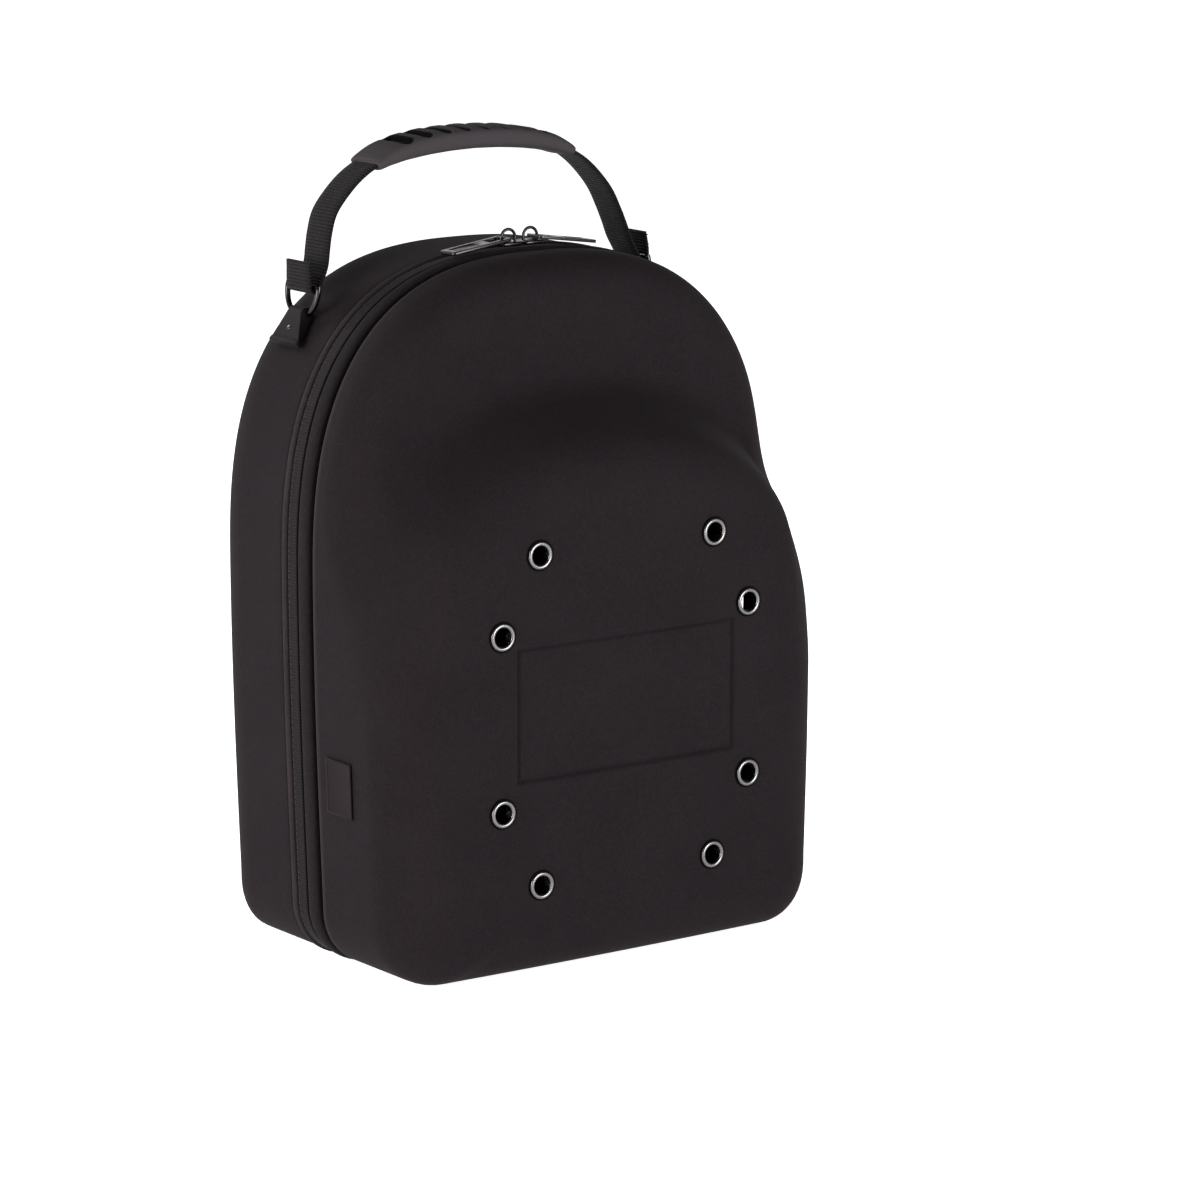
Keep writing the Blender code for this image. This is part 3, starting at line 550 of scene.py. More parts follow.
frames = [eyelet_frame(side, x, z) for x, z in EYELETS for side in (-1, 1)]
bpy.ops.object.select_all(action='DESELECT')
for matrix in frames:
    bpy.ops.mesh.primitive_cylinder_add(vertices=40, radius=HOLE_RADIUS + BARREL_WALL + 0.0003, depth=6 * WALL)
    bpy.context.object.matrix_world = matrix
    bpy.context.object.name = "punch"
punches = [thing for thing in bpy.context.scene.objects if thing.name.startswith("punch")]
for punch in punches:
    punch.select_set(True)
bpy.context.view_layer.objects.active = punches[0]
bpy.ops.object.join()
punch = bpy.context.object
apply_modifier(front, 'BOOLEAN', operation='DIFFERENCE', object=punch, solver='EXACT')
bpy.data.objects.remove(punch)
alone(front)
bpy.ops.object.shade_smooth_by_angle(angle=math.radians(40))
settle(front, front_cloth, replaced=["front_shell"])

LIP_RADIUS = 0.0069        # outer radius of the bright rolled lip; the near-black painted shade ring goes on outside it
flange_mid = (HOLE_RADIUS + LIP_RADIUS) / 2
profile = [(flange_mid + (LIP_RADIUS - HOLE_RADIUS) / 2 * math.cos(math.radians(angle)),
            SEAT + FLANGE_THICKNESS * math.sin(math.radians(angle)))
           for angle in range(0, 181, 15)]
profile += [(HOLE_RADIUS, -WALL - SEAT - BARREL_WALL), (FLANGE_RADIUS - 0.001, -WALL - SEAT - BARREL_WALL),
            (FLANGE_RADIUS - 0.001, -WALL - SEAT), (HOLE_RADIUS + BARREL_WALL, -WALL - SEAT),
            (HOLE_RADIUS + BARREL_WALL, SEAT), (LIP_RADIUS, SEAT)]


def spun(name, section):
    """A closed section of (radius, height) spun round the Z axis."""
    def place(i, j):
        angle = math.radians(360) * (i % 56) / 56
        radius, height = section[j % len(section)]
        return radius * math.cos(angle), radius * math.sin(angle), height
    return skin(name, 56, len(section), place, smooth=50)


# Painted shade: a near-black ring round each bright lip stands in for the shade where the lip meets the cloth.
painted_shade_black, _, _ = new_finish("near_black_painted_shade_ring", "040404", 0.7, Specular_IOR_Level=0.02)
shade_ring_section = [(LIP_RADIUS + 0.0001, SEAT), (FLANGE_RADIUS + 0.0001, SEAT), (FLANGE_RADIUS - 0.0001, SEAT + 0.0004),
          (LIP_RADIUS + 0.0001, SEAT + 0.0004)]
for number, matrix in enumerate(frames, 1):
    ring = spun(f"eyelet_ring_{number:02d}", profile)
    ring.matrix_world = matrix
    settle(ring, eyelet_steel, replaced=[f"eyelet_{number:02d}"])
    edge = spun(f"eyelet_painted_shade_ring_{number:02d}", shade_ring_section)
    edge.matrix_world = matrix
    settle(edge, painted_shade_black)

# %% [markdown]
# ## Back shell
#
# The back shell is a plain deep tray with a round edge. It is made as the front shell is, with one depth.

# %% Back shell
BACK_ROWS = 16


def back_edge(i):
    down = max(-OUTWARD[i][1], 0.0) ** 2
    return BACK_ROUND + (BACK_FOOT_ROUND - BACK_ROUND) * down


def back_place(i, j):
    i %= AROUND
    radius = back_edge(i)
    if j < len(RIM_ROWS):
        depth, inset = RIM_ROWS[j]
        x, z = inner_point(i, inset)
        return x, BACK_RIM + depth, z
    j -= len(RIM_ROWS) - 1
    if j <= WALL_ROWS:
        x, z = OUTLINE[i]
        start = RIM_ROWS[-1][0]
        return x, BACK_RIM + start + (BACK_DEPTH - radius - start) * j / WALL_ROWS, z
    j -= WALL_ROWS
    if j <= ROLL_ROWS:
        angle = math.radians(90) * j / ROLL_ROWS
        x, z = inner_point(i, radius * (1 - math.cos(angle)))
        return x, BACK_RIM + BACK_DEPTH - radius * (1 - math.sin(angle)), z
    share = (j - ROLL_ROWS) / BACK_ROWS
    edge_x, edge_z = inner_point(i, radius)
    x, z = edge_x * (1 - share), edge_z + (FACE_POLE - edge_z) * share
    return x, BACK_RIM + BACK_DEPTH - dent(x, z) * min(2 * share, 1), z


back = skin("back_shell_skin", AROUND, len(RIM_ROWS) - 1 + WALL_ROWS + ROLL_ROWS + BACK_ROWS, back_place)
apply_modifier(back, 'SOLIDIFY', thickness=WALL, offset=-1, use_quality_normals=True)
settle(back, shell_cloth, replaced=["back_shell"])

# %% [markdown]
# ## Zip tapes, piping and binding
#
# From front to back there is a narrow dark groove with a sunk binding, a rolled strip of cloth over the front
# zip tape, the slit, the ribbed rear tape and a raised piping. Each is a closed section carried round the
# outline. The tapes are twill, and the rear one shows its ribs.

# %% Tape finishes


def ribbed_cloth(name, code, light_code, ribs, depth, strength=0.6):
    """Cloth with ribs across its length: ribs is their number along the piece's U."""
    finish, tree, shader = new_finish(name, code, 0.78, Sheen_Weight=0.02, Sheen_Roughness=0.4,
                                      Specular_IOR_Level=0.06)
    place = add_node(tree, "TexCoord")
    split = add_node(tree, "SeparateXYZ", Vector=place.outputs["UV"])
    turns = add_node(tree, "Math", [("operation", 'MULTIPLY'), (1, ribs * math.tau)], i0=split.outputs[0])
    wave = add_node(tree, "Math", [("operation", 'SINE')], i0=turns.outputs[0])
    grain = add_node(tree, "TexNoise", [("Scale", GRAIN), ("Detail", 2.0)], Vector=place.outputs["Object"])
    height = add_node(tree, "Math", [("operation", 'MULTIPLY_ADD'), (1, 0.5)],
                      i0=wave.outputs[0], i2=grain.outputs["Fac"])
    tone = add_node(tree, "ValToRGB", Fac=height.outputs[0])
    tone.color_ramp.elements[0].color = (*linear(code), 1)
    tone.color_ramp.elements[1].color = (*linear(light_code), 1)
    tree.links.new(tone.outputs["Color"], shader.inputs["Base Color"])
    bump = add_node(tree, "Bump", [("Strength", strength), ("Distance", depth)], Height=height.outputs[0])
    tree.links.new(bump.outputs["Normal"], shader.inputs["Normal"])
    return finish


TAPE_RIB = 0.0016          # the twill's ribs are 0.5 mm apart, too fine to show
tape_cloth = ribbed_cloth("ribbed_zip_tape", "100d0f", "1a1618", round(GIRTH / TAPE_RIB), 0.0003, 0.35)
strip_cloth = pressed_cloth("rolled_edge_cloth", "120f10", "1b1819", GRAIN, 0.0004)
piping_cloth = pressed_cloth("piping_cloth", "1b1719", "282325", GRAIN, 0.0003)
binding_cloth, _, _ = new_finish("shadowed_binding_tape", "0c0b0c", 0.9, Specular_IOR_Level=0.1)
zip_nylon, _, _ = new_finish("black_nylon_coil", "1b1a1b", 0.45)

# %% Tapes


def carried_round(name, section, columns=AROUND):
    """A closed section of (distance out, y) points carried round the outline."""
    def place(i, j):
        i %= AROUND
        distance, y = section[j % len(section)]
        x, z = OUTLINE[i] + OUTWARD[i] * distance
        return x, SLIT_Y + y, max(z, 0.0)
    return skin(name, columns, len(section), place, smooth=45)


def crowned(low_y, high_y, edge, crown, inner, power=2.4, steps=14):
    """A closed section with a rounded outer face between two y values."""
    middle, half = (low_y + high_y) / 2, (high_y - low_y) / 2
    section = []
    for step in range(steps + 1):
        angle = math.radians(180) * step / steps
        share = math.copysign(abs(math.cos(angle)) ** (2 / power), -math.cos(angle))
        lift = math.sin(angle) ** (2 / power) if 0 < step < steps else 0.0
        section.append((edge + (crown - edge) * lift, middle + half * share))
    return section + [(inner, high_y), (inner, low_y)]


BAND_INNER = -0.0026
strip = carried_round("front_strip", crowned(-0.0101, -0.0008, -0.0016, 0.0008, BAND_INNER))
settle(strip, strip_cloth, replaced=["zip_tape_front"])
tape = carried_round("rear_zip_tape", crowned(0.0008, 0.0087, -0.0010, -0.0003, BAND_INNER, power=5.0))
settle(tape, tape_cloth, replaced=["zip_tape_back"])
piping = carried_round("rear_piping", crowned(0.0090, 0.0132, -0.0006, 0.0008, BAND_INNER))
settle(piping, piping_cloth, replaced=["back_piping"])
binding = carried_round("groove_binding", crowned(-0.0133, -0.0104, -0.0030, -0.0026, BAND_INNER - 0.0010))
settle(binding, binding_cloth, replaced=["front_binding"])

for name, finish in (("zip_coil", zip_nylon), ("hinge_tape", binding_cloth)):
    nodes[name].data.materials.clear()
    nodes[name].data.materials.append(finish)

# %% [markdown]
# ## Stitches
#
# A lockstitch holds the rear tape to the piping. One stitch is a stretched sphere of a few faces, copied along
# the outline with a gap between neighbours.

# %% Stitches
STITCH_PITCH, STITCH_LENGTH, STITCH_WIDTH = 0.0032, 0.0024, 0.00050
thread, _, _ = new_finish("polyester_thread", "2c282a", 0.6, Specular_IOR_Level=0.2)


def stitch_row(name, places, finish):
    """Stitches at (middle, direction, outward) places, in one object."""
    bpy.ops.object.select_all(action='DESELECT')
    bpy.ops.mesh.primitive_uv_sphere_add(segments=6, ring_count=4, radius=0.5)
    piece = bpy.context.object
    piece.name = piece.data.name = name
    model = bmesh.new()
    model.from_mesh(piece.data)
    whole = bmesh.new()
    for middle, direction, outward in places:
        side = outward.cross(direction).normalized()
        turned = Matrix((side * STITCH_WIDTH, outward * STITCH_WIDTH, direction * STITCH_LENGTH)).transposed()
        copies = {vert: whole.verts.new(middle + turned @ vert.co) for vert in model.verts}
        for face in model.faces:
            whole.faces.new([copies[vert] for vert in face.verts])
    whole.to_mesh(piece.data)
    model.free()
    whole.free()
    tidy_mesh(piece, 60)
    return settle(piece, finish)


def outline_places(y, lift, pitch):
    """Places along the outline at a depth, a distance outside it, pitch apart."""
    points, outward, girth = even_outline(round(GIRTH / pitch))
    places = []
    for (x, z), (run, up) in zip(points, outward):
        if z + up * lift > 0.0005:
            places.append((Vector((x + run * lift, SLIT_Y + y, z + up * lift)), Vector((-up, 0, run)),
                           Vector((run, 0, up))))
    return places


stitch_row("tape_stitches", outline_places(0.0072, -0.0003, STITCH_PITCH), thread)

# %% [markdown]
# ## D-rings
#
# Each ring is bent from gunmetal wire with a straight bar at the top, where the strap folds round it, and a
# curve below that a tab holds. A wire is a small circle carried along a path.

# %% Gunmetal
gunmetal, tree, shader = new_finish("gunmetal_plated_zinc", "2e2c2c", 0.2, metallic=1.0)
spot = add_node(tree, "TexCoord")
scuff = add_node(tree, "TexNoise", [("Scale", 420.0), ("Detail", 4.0)], Vector=spot.outputs["Object"])
dull = add_node(tree, "MapRange", [("To Min", 0.14), ("To Max", 0.34)], Value=scuff.outputs["Fac"])
tree.links.new(dull.outputs[0], shader.inputs["Roughness"])

# %% D-rings
HANDLE_Y = SLIT_Y + 0.042
SHOULDER_HALF = 0.0985
RING_WIRE, RING_WIDTH, RING_DROP, RING_POWER, RING_LEAN = 0.0014, 0.0280, 0.0150, 2.3, 8.0
RING_SLIDE = 0.0020        # how far the ring has slid down the slope
LOOP_RADIUS, TAB_RADIUS = 0.0024, 0.0040


def wire(name, path, radius, closed=True, sides=14, smooth=60):
    """A round wire along a path of points. An open one gets closed ends."""
    count = len(path)
    rows = count if closed else count + 1
    normal = None
    rings = []
    for i in range(count):
        before = path[i - 1] if closed or i else path[0]
        after = path[(i + 1) % count] if closed or i < count - 1 else path[-1]
        along = (after - before).normalized()
        if normal is None:
            normal = along.orthogonal().normalized()
        normal = (normal - along * normal.dot(along)).normalized()
        rings.append((path[i], normal.copy(), along.cross(normal)))

    def place(i, j):
        if not closed and i in (0, rows):
            return path[0] if i == 0 else path[-1]
        middle, first, second = rings[i % count if closed else i - 1]
        angle = math.tau * (j % sides) / sides
        return middle + (first * math.cos(angle) + second * math.sin(angle)) * radius

    return skin(name, rows, sides, place, smooth)


def shoulder(side):
    """Surface point, direction down the slope and outward normal under a ring."""
    step = 0.001
    fall = Vector((2 * step, 0, arch_height(SHOULDER_HALF + step) - arch_height(SHOULDER_HALF - step))).normalized()
    mirror = Vector((side, 1, 1))
    return (Vector((SHOULDER_HALF, 0, arch_height(SHOULDER_HALF))) * mirror, fall * mirror,
            Vector((-fall.z, 0, fall.x)) * mirror)


def ring_frame(side):
    """Middle of the ring's lowest wire, and the direction up the ring."""
    place, fall, out = shoulder(side)
    lean = math.radians(RING_LEAN)
    up = Vector((-side * math.sin(lean), 0, math.cos(lean)))
    return place + fall * RING_SLIDE + out * (SEAT + TAB_RADIUS) - up * 0.0005, up


def ring_path(side):
    low, up = ring_frame(side)
    path = []
    for i in range(49):
        angle = math.radians(180) * i / 48
        run = math.copysign(abs(math.cos(angle)) ** (2 / RING_POWER), math.cos(angle)) * RING_WIDTH / 2
        drop = math.sin(angle) ** (2 / RING_POWER) if 0 < i < 48 else 0.0
        path.append(low + Vector((0, HANDLE_Y + run, 0)) + up * RING_DROP * (1 - drop))
    bar = [path[-1].lerp(path[0], share / 12) for share in range(1, 12)]
    return path + bar


for side, word in ((-1, "left"), (1, "right")):
    ring = wire(f"wire_ring_{word}", ring_path(side), RING_WIRE)
    settle(ring, gunmetal, replaced=[f"d_ring_{word}"])

# %% [markdown]
# ## Ring tabs
#
# A moulded rubber tab is folded round the ring and fixed to the shell: a wedge that widens downhill, a raised
# bar along its lower edge and a small rivet.

# %% Rubber finishes


def moulded_rubber(name, code, roughness, sheen, grain=900.0):
    finish, tree, shader = new_finish(name, code, roughness, Specular_IOR_Level=sheen)
    place = add_node(tree, "TexCoord")
    fine = add_node(tree, "TexNoise", [("Scale", grain), ("Detail", 2.0)], Vector=place.outputs["Object"])
    wear = add_node(tree, "MapRange", [("To Min", roughness - 0.08), ("To Max", roughness + 0.12)],
                    Value=fine.outputs["Fac"])
    tree.links.new(wear.outputs[0], shader.inputs["Roughness"])
    bump = add_node(tree, "Bump", [("Strength", 0.25), ("Distance", 0.0002)], Height=fine.outputs["Fac"])
    tree.links.new(bump.outputs["Normal"], shader.inputs["Normal"])
    return finish


tab_rubber = moulded_rubber("moulded_tab_rubber", "120f11", 0.58, 0.04)

# %% Ring tabs
TAB_WIDTH, TAB_NECK, TAB_LENGTH, TAB_THICKNESS = 0.026, 0.012, 0.019, 0.0020


def tab_outline():
    """Side view of the tab, (down the slope, above the shell), as an open fold with a channel."""
    height = SEAT + TAB_RADIUS
    outer = [(RING_SLIDE + TAB_RADIUS * math.cos(math.radians(angle)), height + TAB_RADIUS * math.sin(math.radians(angle)))
             for angle in range(-90, -283, -12)]
    return [(TAB_LENGTH, SEAT)] + outer + [(TAB_LENGTH - 0.0005, SEAT + TAB_THICKNESS)]


def tab_piece(side, word):
    place, fall, out = shoulder(side)
    section = tab_outline()
    middle = (TAB_LENGTH * 0.45, SEAT + TAB_THICKNESS * 0.5)

    def spot(i, j):
        s, h = section[j % len(section)]
        if i in (0, 9):
            s, h = middle
        share = (min(max(i - 1, 0), 7) / 7 - 0.5) * 2
        width = TAB_NECK + (TAB_WIDTH - TAB_NECK) * smooth_step((s - TAB_RADIUS / 2) / (TAB_LENGTH - TAB_RADIUS))
        return place + fall * s + out * h + Vector((0, HANDLE_Y + share * width / 2, 0))

    tab = skin(f"ring_tab_body_{word}", 9, len(section), spot, smooth=35)
    apply_modifier(tab, 'BEVEL', width=0.0004, segments=2, limit_method='ANGLE', angle_limit=math.radians(50))
    settle(tab, tab_rubber, replaced=[f"ring_tab_{word}"])

    bpy.ops.object.select_all(action='DESELECT')
    bpy.ops.mesh.primitive_cube_add(size=1)
    bar = bpy.context.object
    bar.name = bar.data.name = f"tab_foot_bar_{word}"
    turned = Matrix((fall * 0.0032, Vector((0, TAB_WIDTH * 0.98, 0)), out * 0.0030)).transposed().to_4x4()
    bar.matrix_world = Matrix.Translation(place + fall * (TAB_LENGTH - 0.0018) + out * (SEAT + 0.0017)
                                          + Vector((0, HANDLE_Y, 0))) @ turned
    alone(bar)
    bpy.ops.object.transform_apply(location=True, rotation=True, scale=True)
    apply_modifier(bar, 'BEVEL', width=0.0009, segments=3)
    tidy_mesh(bar, 40)
    settle(bar, tab_rubber)

    bpy.ops.object.select_all(action='DESELECT')
    bpy.ops.mesh.primitive_uv_sphere_add(segments=24, ring_count=12, radius=0.0019)
    rivet = bpy.context.object
    rivet.name = rivet.data.name = f"tab_rivet_{word}"
    bpy.ops.transform.resize(value=(1, 1, 0.5))
    turned = Vector((0, 0, 1)).rotation_difference(out).to_matrix().to_4x4()
    height = SEAT + TAB_THICKNESS + TAB_RADIUS * 0.62
    rivet.matrix_world = Matrix.Translation(place + fall * TAB_LENGTH * 0.55 + out * height
                                            + Vector((0, HANDLE_Y, 0))) @ turned @ rivet.matrix_world
    tidy_mesh(rivet, 60)
    settle(rivet, gunmetal)


for side, word in ((-1, "left"), (1, "right")):
    tab_piece(side, word)

# %% [markdown]
# ## Handle strap
#
# The handle is one length of nylon webbing. Each end goes down through a ring, round its bar and up again
# outside, where it is sewn to itself. Webbing has strong ribs across it, because the weft is thick and hidden
# by the warp.

# %% Handle path
STRAP_WIDTH, STRAP_THICKNESS, FLAP_LENGTH, FLAP_LEAN, HANDLE_RISE = 0.0215, 0.0018, 0.0125, 0.10, 0.0680
SWAY = -0.0040             # the soft handle leans a little to the left
STRAP_ROUTE = [
    # share of half span, share of rise
    (0.925, 0.130), (0.900, 0.260), (0.875, 0.380), (0.835, 0.520), (0.765, 0.650), (0.680, 0.765),
    (0.585, 0.850), (0.480, 0.915), (0.350, 0.960), (0.180, 0.990), (0.000, 1.000),
]


def smooth_route(points, steps):
    """Catmull-Rom curve through points of (x, z)."""
    route = []
    for i in range(len(points) - 1):
        four = [np.array(points[min(max(i + k, 0), len(points) - 1)]) for k in (-1, 0, 1, 2)]
        for step in range(steps):
            t = step / steps
            route.append(tuple(0.5 * (2 * four[1] + (four[2] - four[0]) * t
                                      + (2 * four[0] - 5 * four[1] + 4 * four[2] - four[3]) * t * t
                                      + (3 * four[1] - four[0] - 3 * four[2] + four[3]) * t ** 3)))
    return route + [tuple(points[-1])]


def half_strap():
    low, up = ring_frame(1)
    bar = low + up * RING_DROP
    radius = RING_WIRE + 0.0003 + STRAP_THICKNESS / 2
    wrap = [(bar.x + radius * math.cos(math.radians(angle)), bar.z + radius * math.sin(math.radians(angle)))
            for angle in range(15, -161, -7)]
    lean = Vector((-FLAP_LEAN, 1.0)).normalized() * FLAP_LENGTH
    flap = [(bar.x + radius + 0.0003 + lean.x * share, bar.z + lean.y * share) for share in (1.0, 0.8, 0.6, 0.3)]
    leg = [(bar.x * run, bar.z + HANDLE_RISE * rise) for run, rise in STRAP_ROUTE]
    return flap + wrap + smooth_route([wrap[-1]] + leg, 10)[1:]


def even_path(points, count):
    """count + 1 evenly spaced points of (x, z) along a path, and its length."""
    path = np.array(points)
    lengths = np.concatenate([[0], np.cumsum(np.hypot(*np.diff(path, axis=0).T))])
    wanted = np.linspace(0, lengths[-1], count + 1)
    return np.stack([np.interp(wanted, lengths, path[:, axis]) for axis in (0, 1)], axis=1), lengths[-1]


right_half = half_strap()
bar_z = right_half[-1][1] - HANDLE_RISE
whole_strap = [(x + SWAY * smooth_step((z - bar_z) / (HANDLE_RISE * 0.6)), z)
               for x, z in [(-x, z) for x, z in right_half[:-1]] + list(reversed(right_half))]


def carried_along(name, path, section_at, smooth=40):
    """Sections of (across, up) pairs carried along a path of (x, z), with closed ends."""
    count = len(path)
    along = np.gradient(path, axis=0)
    along /= np.hypot(*along.T)[:, None]
    sections = [section_at(i) for i in range(count)]

    def place(i, j):
        k = min(max(i - 1, 0), count - 1)
        x, z = path[k]
        sideways, up = sections[k][j % len(sections[k])] if 0 < i < count + 1 else (0.0, 0.0)
        return x - along[k][1] * up, HANDLE_Y + sideways, z + along[k][0] * up

    return skin(name, count + 1, len(sections[0]), place, smooth)


# %% Handle strap
STRAP_STEPS = 420
strap_path, strap_length = even_path(whole_strap, STRAP_STEPS)
WEBBING_RIB = 0.0017
webbing = ribbed_cloth("nylon_webbing", "090708", "1a1718", round(strap_length / WEBBING_RIB), 0.0007, 0.8)


def strap_section(i):
    """A flat section whose edges are rounded."""
    wide, thick = STRAP_WIDTH / 2, STRAP_THICKNESS / 2
    return [(-wide, -thick * 0.5), (-wide + 0.0006, -thick), (-wide / 2, -thick), (0, -thick), (wide / 2, -thick),
            (wide - 0.0006, -thick), (wide, -thick * 0.5), (wide, thick * 0.5), (wide - 0.0006, thick),
            (wide / 2, thick), (0, thick), (-wide / 2, thick), (-wide + 0.0006, thick), (-wide, thick * 0.5)]


strap = carried_along("webbing_strap", strap_path, strap_section)
settle(strap, webbing, replaced=["handle_strap"])
print("strap length in mm:", round(strap_length * 1000))

# %% [markdown]
# The flap is sewn down with two rows of stitches across the webbing, seen on the outside of each end.

# %% Flap stitches
for side, word in ((-1, "left"), (1, "right")):
    (top_x, top_z), (low_x, low_z) = right_half[0], right_half[3]
    direction = Vector((top_x - low_x, 0, top_z - low_z)).normalized()
    out = Vector((direction.z, 0, -direction.x))
    places = []
    for share in (0.25, 0.80):
        point = Vector((low_x, 0, low_z)).lerp(Vector((top_x, 0, top_z)), share) + out * STRAP_THICKNESS / 2
        for k in range(-3, 4):
            places.append((Vector((side * point.x, HANDLE_Y + k * STITCH_PITCH, point.z)), Vector((0, 1, 0)),
                           Vector((side * out.x, 0, out.z))))
    stitch_row(f"flap_stitches_{word}", places, thread)

# %% [markdown]
# ## Grip
#
# The grip is soft rubber moulded round the webbing. Its top has round-ended flutes for the fingers. Flutes are
# pressed into the skin by moving its points inward, and an attribute keeps how deep each point lies, so that
# shade is painted into the colour there: the deeper the flute, the nearer to black.

# %% Grip
GRIP_LENGTH, GRIP_WIDTH, GRIP_THICKNESS = 0.120, 0.029, 0.0115
GRIP_SECTIONS = [
    # share of half length, share of width, share of thickness
    (0.00, 1.00, 1.00), (0.35, 1.00, 1.00), (0.62, 0.99, 0.94), (0.82, 0.97, 0.80), (0.94, 0.94, 0.62),
    (1.00, 0.91, 0.52),
]
FLUTES = 8
FLUTE_PITCH, FLUTE_WIDTH, FLUTE_DEPTH, FLUTE_REACH = 0.0115, 0.0066, 0.0031, 0.0125
MARK_PLACE, MARK_RADIUS = 0.0500, 0.0028
GRIP_AROUND = 96


def grip_share(share):
    table = np.array(GRIP_SECTIONS)
    return np.interp(share, table[:, 0], table[:, 1]), np.interp(share, table[:, 0], table[:, 2])


def flute(along, sideways, up):
    """How deep a flute is at a place of the grip, as a share of its full depth."""
    if up <= 0:
        return 0.0
    phase = along / FLUTE_PITCH
    nearest = round(phase - 0.5) + 0.5
    if abs(nearest) > FLUTES / 2:
        return 0.0
    beyond = max(abs(sideways) - (FLUTE_REACH - FLUTE_WIDTH / 2), 0.0)
    return smooth_step(1.6 * (1.15 - math.hypot((phase - nearest) * FLUTE_PITCH, beyond) / (FLUTE_WIDTH / 2)))


grip_path, grip_span = even_path(
    [(x, z) for x, z in strap_path if abs(x - SWAY) <= GRIP_LENGTH / 2], 320)
grip_depths = []


def grip_section(i):
    x = grip_path[i][0] - SWAY
    share = min(abs(x) / (GRIP_LENGTH / 2), 1.0)
    width, thickness = grip_share(share)
    half_width, half_thick = GRIP_WIDTH * width / 2, max(GRIP_THICKNESS * thickness / 2, 0.0024)
    rounding = math.sqrt(max(1 - max((share - 0.965) / 0.035, 0.0) ** 2, 0.0))
    half_thick = 0.0013 + (half_thick - 0.0013) * (0.35 + 0.65 * rounding)
    section = []
    for k in range(GRIP_AROUND):
        angle = math.tau * (k + 0.5) / GRIP_AROUND
        sideways = math.copysign(abs(math.cos(angle)) ** 0.45, math.cos(angle)) * half_width
        up = math.copysign(abs(math.sin(angle)) ** 0.75, math.sin(angle)) * half_thick
        deep = flute(x, sideways, up)
        section.append((sideways * (1 - 0.06 * deep), up - math.copysign(FLUTE_DEPTH * deep, up)))
    return section


grip = carried_along("moulded_grip", grip_path, grip_section, smooth=50)
print("grip span in mm:", round(grip_span * 1000))

# %% Grip finish
grip_rubber = moulded_rubber("soft_grip_rubber", "343133", 0.58, 0.06)
tree = grip_rubber.node_tree
tree.nodes["Principled BSDF"].inputs["IOR"].default_value = 1.15
# Painted shade: the colour runs from the rubber's 343133 to near-black 020202 as the flutes get deeper.
place = add_node(tree, "Attribute", [("attribute_name", "flute")])
tone = add_node(tree, "ValToRGB", Fac=place.outputs["Fac"])
tone.color_ramp.elements[0].position = 0.15
tone.color_ramp.elements[0].color = (*linear("343133"), 1)
tone.color_ramp.elements[1].position = 0.55
tone.color_ramp.elements[1].color = (*linear("020202"), 1)
tree.links.new(tone.outputs["Color"], tree.nodes["Principled BSDF"].inputs["Base Color"])
shade = grip.data.attributes.new("flute", 'FLOAT', 'POINT')
for vert in grip.data.vertices:
    nearest = int(np.argmin(np.abs(grip_path[:, 0] - vert.co.x)))
    shade.data[vert.index].value = flute(vert.co.x - SWAY, vert.co.y - HANDLE_Y, vert.co.z - grip_path[nearest][1])
settle(grip, grip_rubber, replaced=["handle_grip"])

# %% [markdown]
# ## Sliders and pulls
#
# Two zip sliders meet at the top. Each is a small plated casting with a wire arch, its crown, and a flat pull
# hangs in the crown by its inner bar. The pull has an open slot at its root and a bare sunk field near its end.

# %% Sliders
SLIDER_LENGTH, SLIDER_WIDTH, SLIDER_THICKNESS = 0.0110, 0.0095, 0.0022
SLIDER_X, SLIDER_LOW, CROWN_Z = 0.0067, 0.3513, 0.3553
CROWN_RADIUS, CROWN_WIRE, CROWN_POST = 0.0042, 0.0008, 0.0018


def block(name, size, matrix, bevel, segments=3):
    """A cube scaled to a size, placed, with bevelled edges."""
    bpy.ops.object.select_all(action='DESELECT')
    bpy.ops.mesh.primitive_cube_add(size=1)
    piece = bpy.context.object
    piece.name = piece.data.name = name
    bpy.ops.transform.resize(value=size)
    bpy.ops.object.transform_apply(location=False, rotation=False, scale=True)
    piece.matrix_world = matrix
    bpy.ops.object.transform_apply(location=True, rotation=True, scale=True)
    if bevel:
        apply_modifier(piece, 'BEVEL', width=bevel, segments=segments)
    return piece


for side, word in ((-1, "left"), (1, "right")):
    middle = Vector((side * SLIDER_X, SLIT_Y, SLIDER_LOW + SLIDER_THICKNESS / 2))
    body = block(f"slider_body_{word}", (SLIDER_LENGTH, SLIDER_WIDTH, SLIDER_THICKNESS),
                 Matrix.Translation(middle), 0.0008)
    tidy_mesh(body, 40)
    settle(body, gunmetal, replaced=[f"slider_{word}"])
    path = [Vector((CROWN_RADIUS, 0, -CROWN_POST - 0.0006))]
    path += [Vector((CROWN_RADIUS * math.cos(math.radians(angle)), 0, CROWN_RADIUS * math.sin(math.radians(angle))))
             for angle in range(0, 181, 10)]
    path += [Vector((-CROWN_RADIUS, 0, -CROWN_POST - 0.0006))]
    path = [point + Vector((side * SLIDER_X, SLIT_Y, CROWN_Z)) for point in path]
    crown = wire(f"slider_crown_{word}", path, CROWN_WIRE, closed=False, sides=12)
    settle(crown, gunmetal)

# %% Pulls
PULL_LENGTH, PULL_WIDTH, PULL_THICKNESS, PULL_BAR = 0.036, 0.013, 0.0016, 0.0015
PULL_SLOT_LENGTH, PULL_SLOT_WIDTH, PULL_TILT = 0.0100, 0.0068, 8.0
FIELD_START, FIELD_LENGTH, FIELD_WIDTH, FIELD_SINK = 0.0180, 0.0140, 0.0080, 0.0004

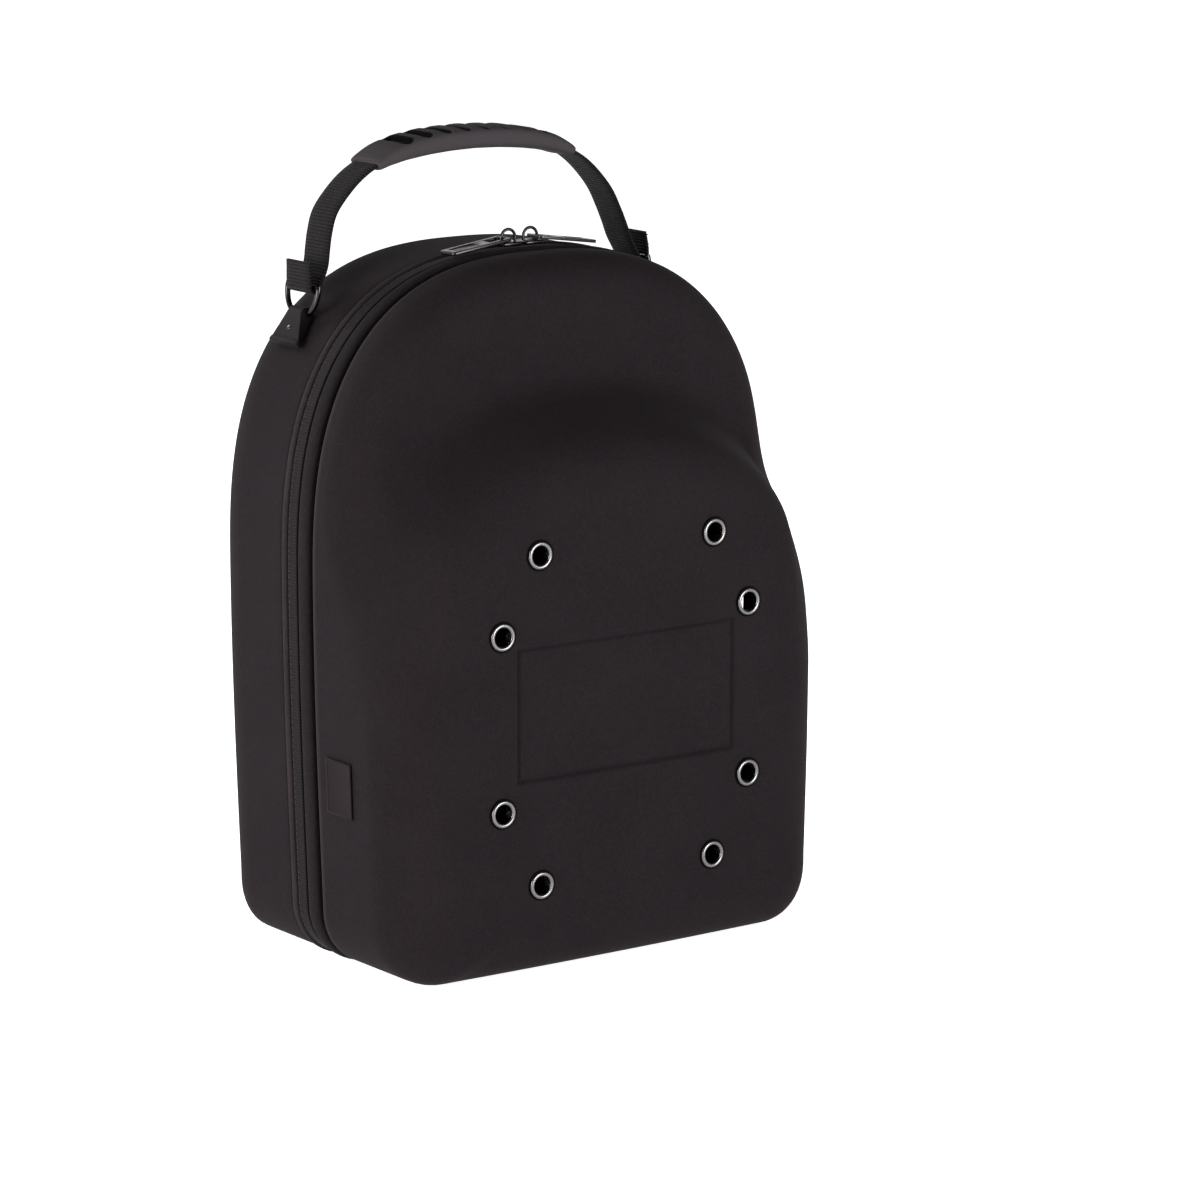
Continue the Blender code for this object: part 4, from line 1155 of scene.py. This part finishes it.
for side, word in ((-1, "left"), (1, "right")):
    frame_in = Matrix.Translation((side * SLIDER_X, SLIT_Y, CROWN_Z)) @ Matrix.Rotation(
        math.radians(side * PULL_TILT), 4, 'Y')
    slot_start = CROWN_RADIUS - CROWN_WIRE - 0.0003
    start = slot_start - PULL_BAR
    shift = Matrix.Translation((side * (start + PULL_LENGTH / 2), 0, 0))
    plate = block(f"pull_plate_{word}", (PULL_LENGTH, PULL_WIDTH, PULL_THICKNESS), shift, 0)
    select_none(plate, 'EDGE')
    for edge in plate.data.edges:
        ends = [plate.data.vertices[index].co for index in edge.vertices]
        edge.select = abs(ends[0].z - ends[1].z) > PULL_THICKNESS / 2
    bpy.ops.object.mode_set(mode='EDIT')
    bpy.ops.mesh.bevel(offset=0.0022, segments=6)
    bpy.ops.object.mode_set(mode='OBJECT')
    cuts = [((PULL_SLOT_LENGTH, PULL_SLOT_WIDTH, 0.01), slot_start + PULL_SLOT_LENGTH / 2, 0.0)]
    cuts += [((FIELD_LENGTH, FIELD_WIDTH, 0.002), start + FIELD_START + FIELD_LENGTH / 2,
              level * (PULL_THICKNESS / 2 - FIELD_SINK + 0.001)) for level in (-1, 1)]
    for size, x, z in cuts:
        tool = block("cut", size, Matrix.Translation((side * x, 0, z)), 0.0005 if z == 0 else 0)
        apply_modifier(plate, 'BOOLEAN', operation='DIFFERENCE', object=tool, solver='EXACT')
        bpy.data.objects.remove(tool)
    apply_modifier(plate, 'BEVEL', width=0.00025, segments=2, limit_method='ANGLE', angle_limit=math.radians(40))
    tidy_mesh(plate, 30)
    plate.matrix_world = frame_in
    settle(plate, gunmetal, body=f"pull_{word}", replaced=[f"pull_{word}"])

# %% [markdown]
# ## Side label
#
# A small moulded label is sewn to the left side. It is left bare: a raised rim round a flat field.

# %% Side label
LABEL_DEPTH, LABEL_HEIGHT, LABEL_THICKNESS, LABEL_CENTRE = 0.022, 0.028, 0.0008, 0.0975
LABEL_Y = FRONT_RIM - 0.0215
label_rubber = moulded_rubber("moulded_label_rubber", "1a1517", 0.6, 0.03)

share = (LABEL_CENTRE - CORNER_RADIUS) / (WIDEST_HEIGHT - CORNER_RADIUS) * math.radians(90)
label_x = BASE_WIDTH / 2 + (WIDTH - BASE_WIDTH) / 2 * math.sin(share)
flare = (WIDTH - BASE_WIDTH) / 2 * math.cos(share) * math.radians(90) / (WIDEST_HEIGHT - CORNER_RADIUS)
label_matrix = Matrix.Translation((-label_x - SEAT - LABEL_THICKNESS / 2, LABEL_Y, LABEL_CENTRE)) @ Matrix.Rotation(
    -math.atan(flare), 4, 'Y')
label = block("side_label_patch", (LABEL_THICKNESS, LABEL_DEPTH, LABEL_HEIGHT), Matrix.Identity(4), 0)
select_none(label, 'FACE')
for face in label.data.polygons:
    face.select = face.normal.x < -0.9
bpy.ops.object.mode_set(mode='EDIT')
bpy.ops.mesh.inset(thickness=0.0014, depth=0)
bpy.ops.mesh.inset(thickness=0.0003, depth=-0.0003)
bpy.ops.object.mode_set(mode='OBJECT')
apply_modifier(label, 'BEVEL', width=0.00015, segments=2, limit_method='ANGLE', angle_limit=math.radians(30))
tidy_mesh(label, 30)
label.matrix_world = label_matrix
settle(label, label_rubber, replaced=["side_label"])
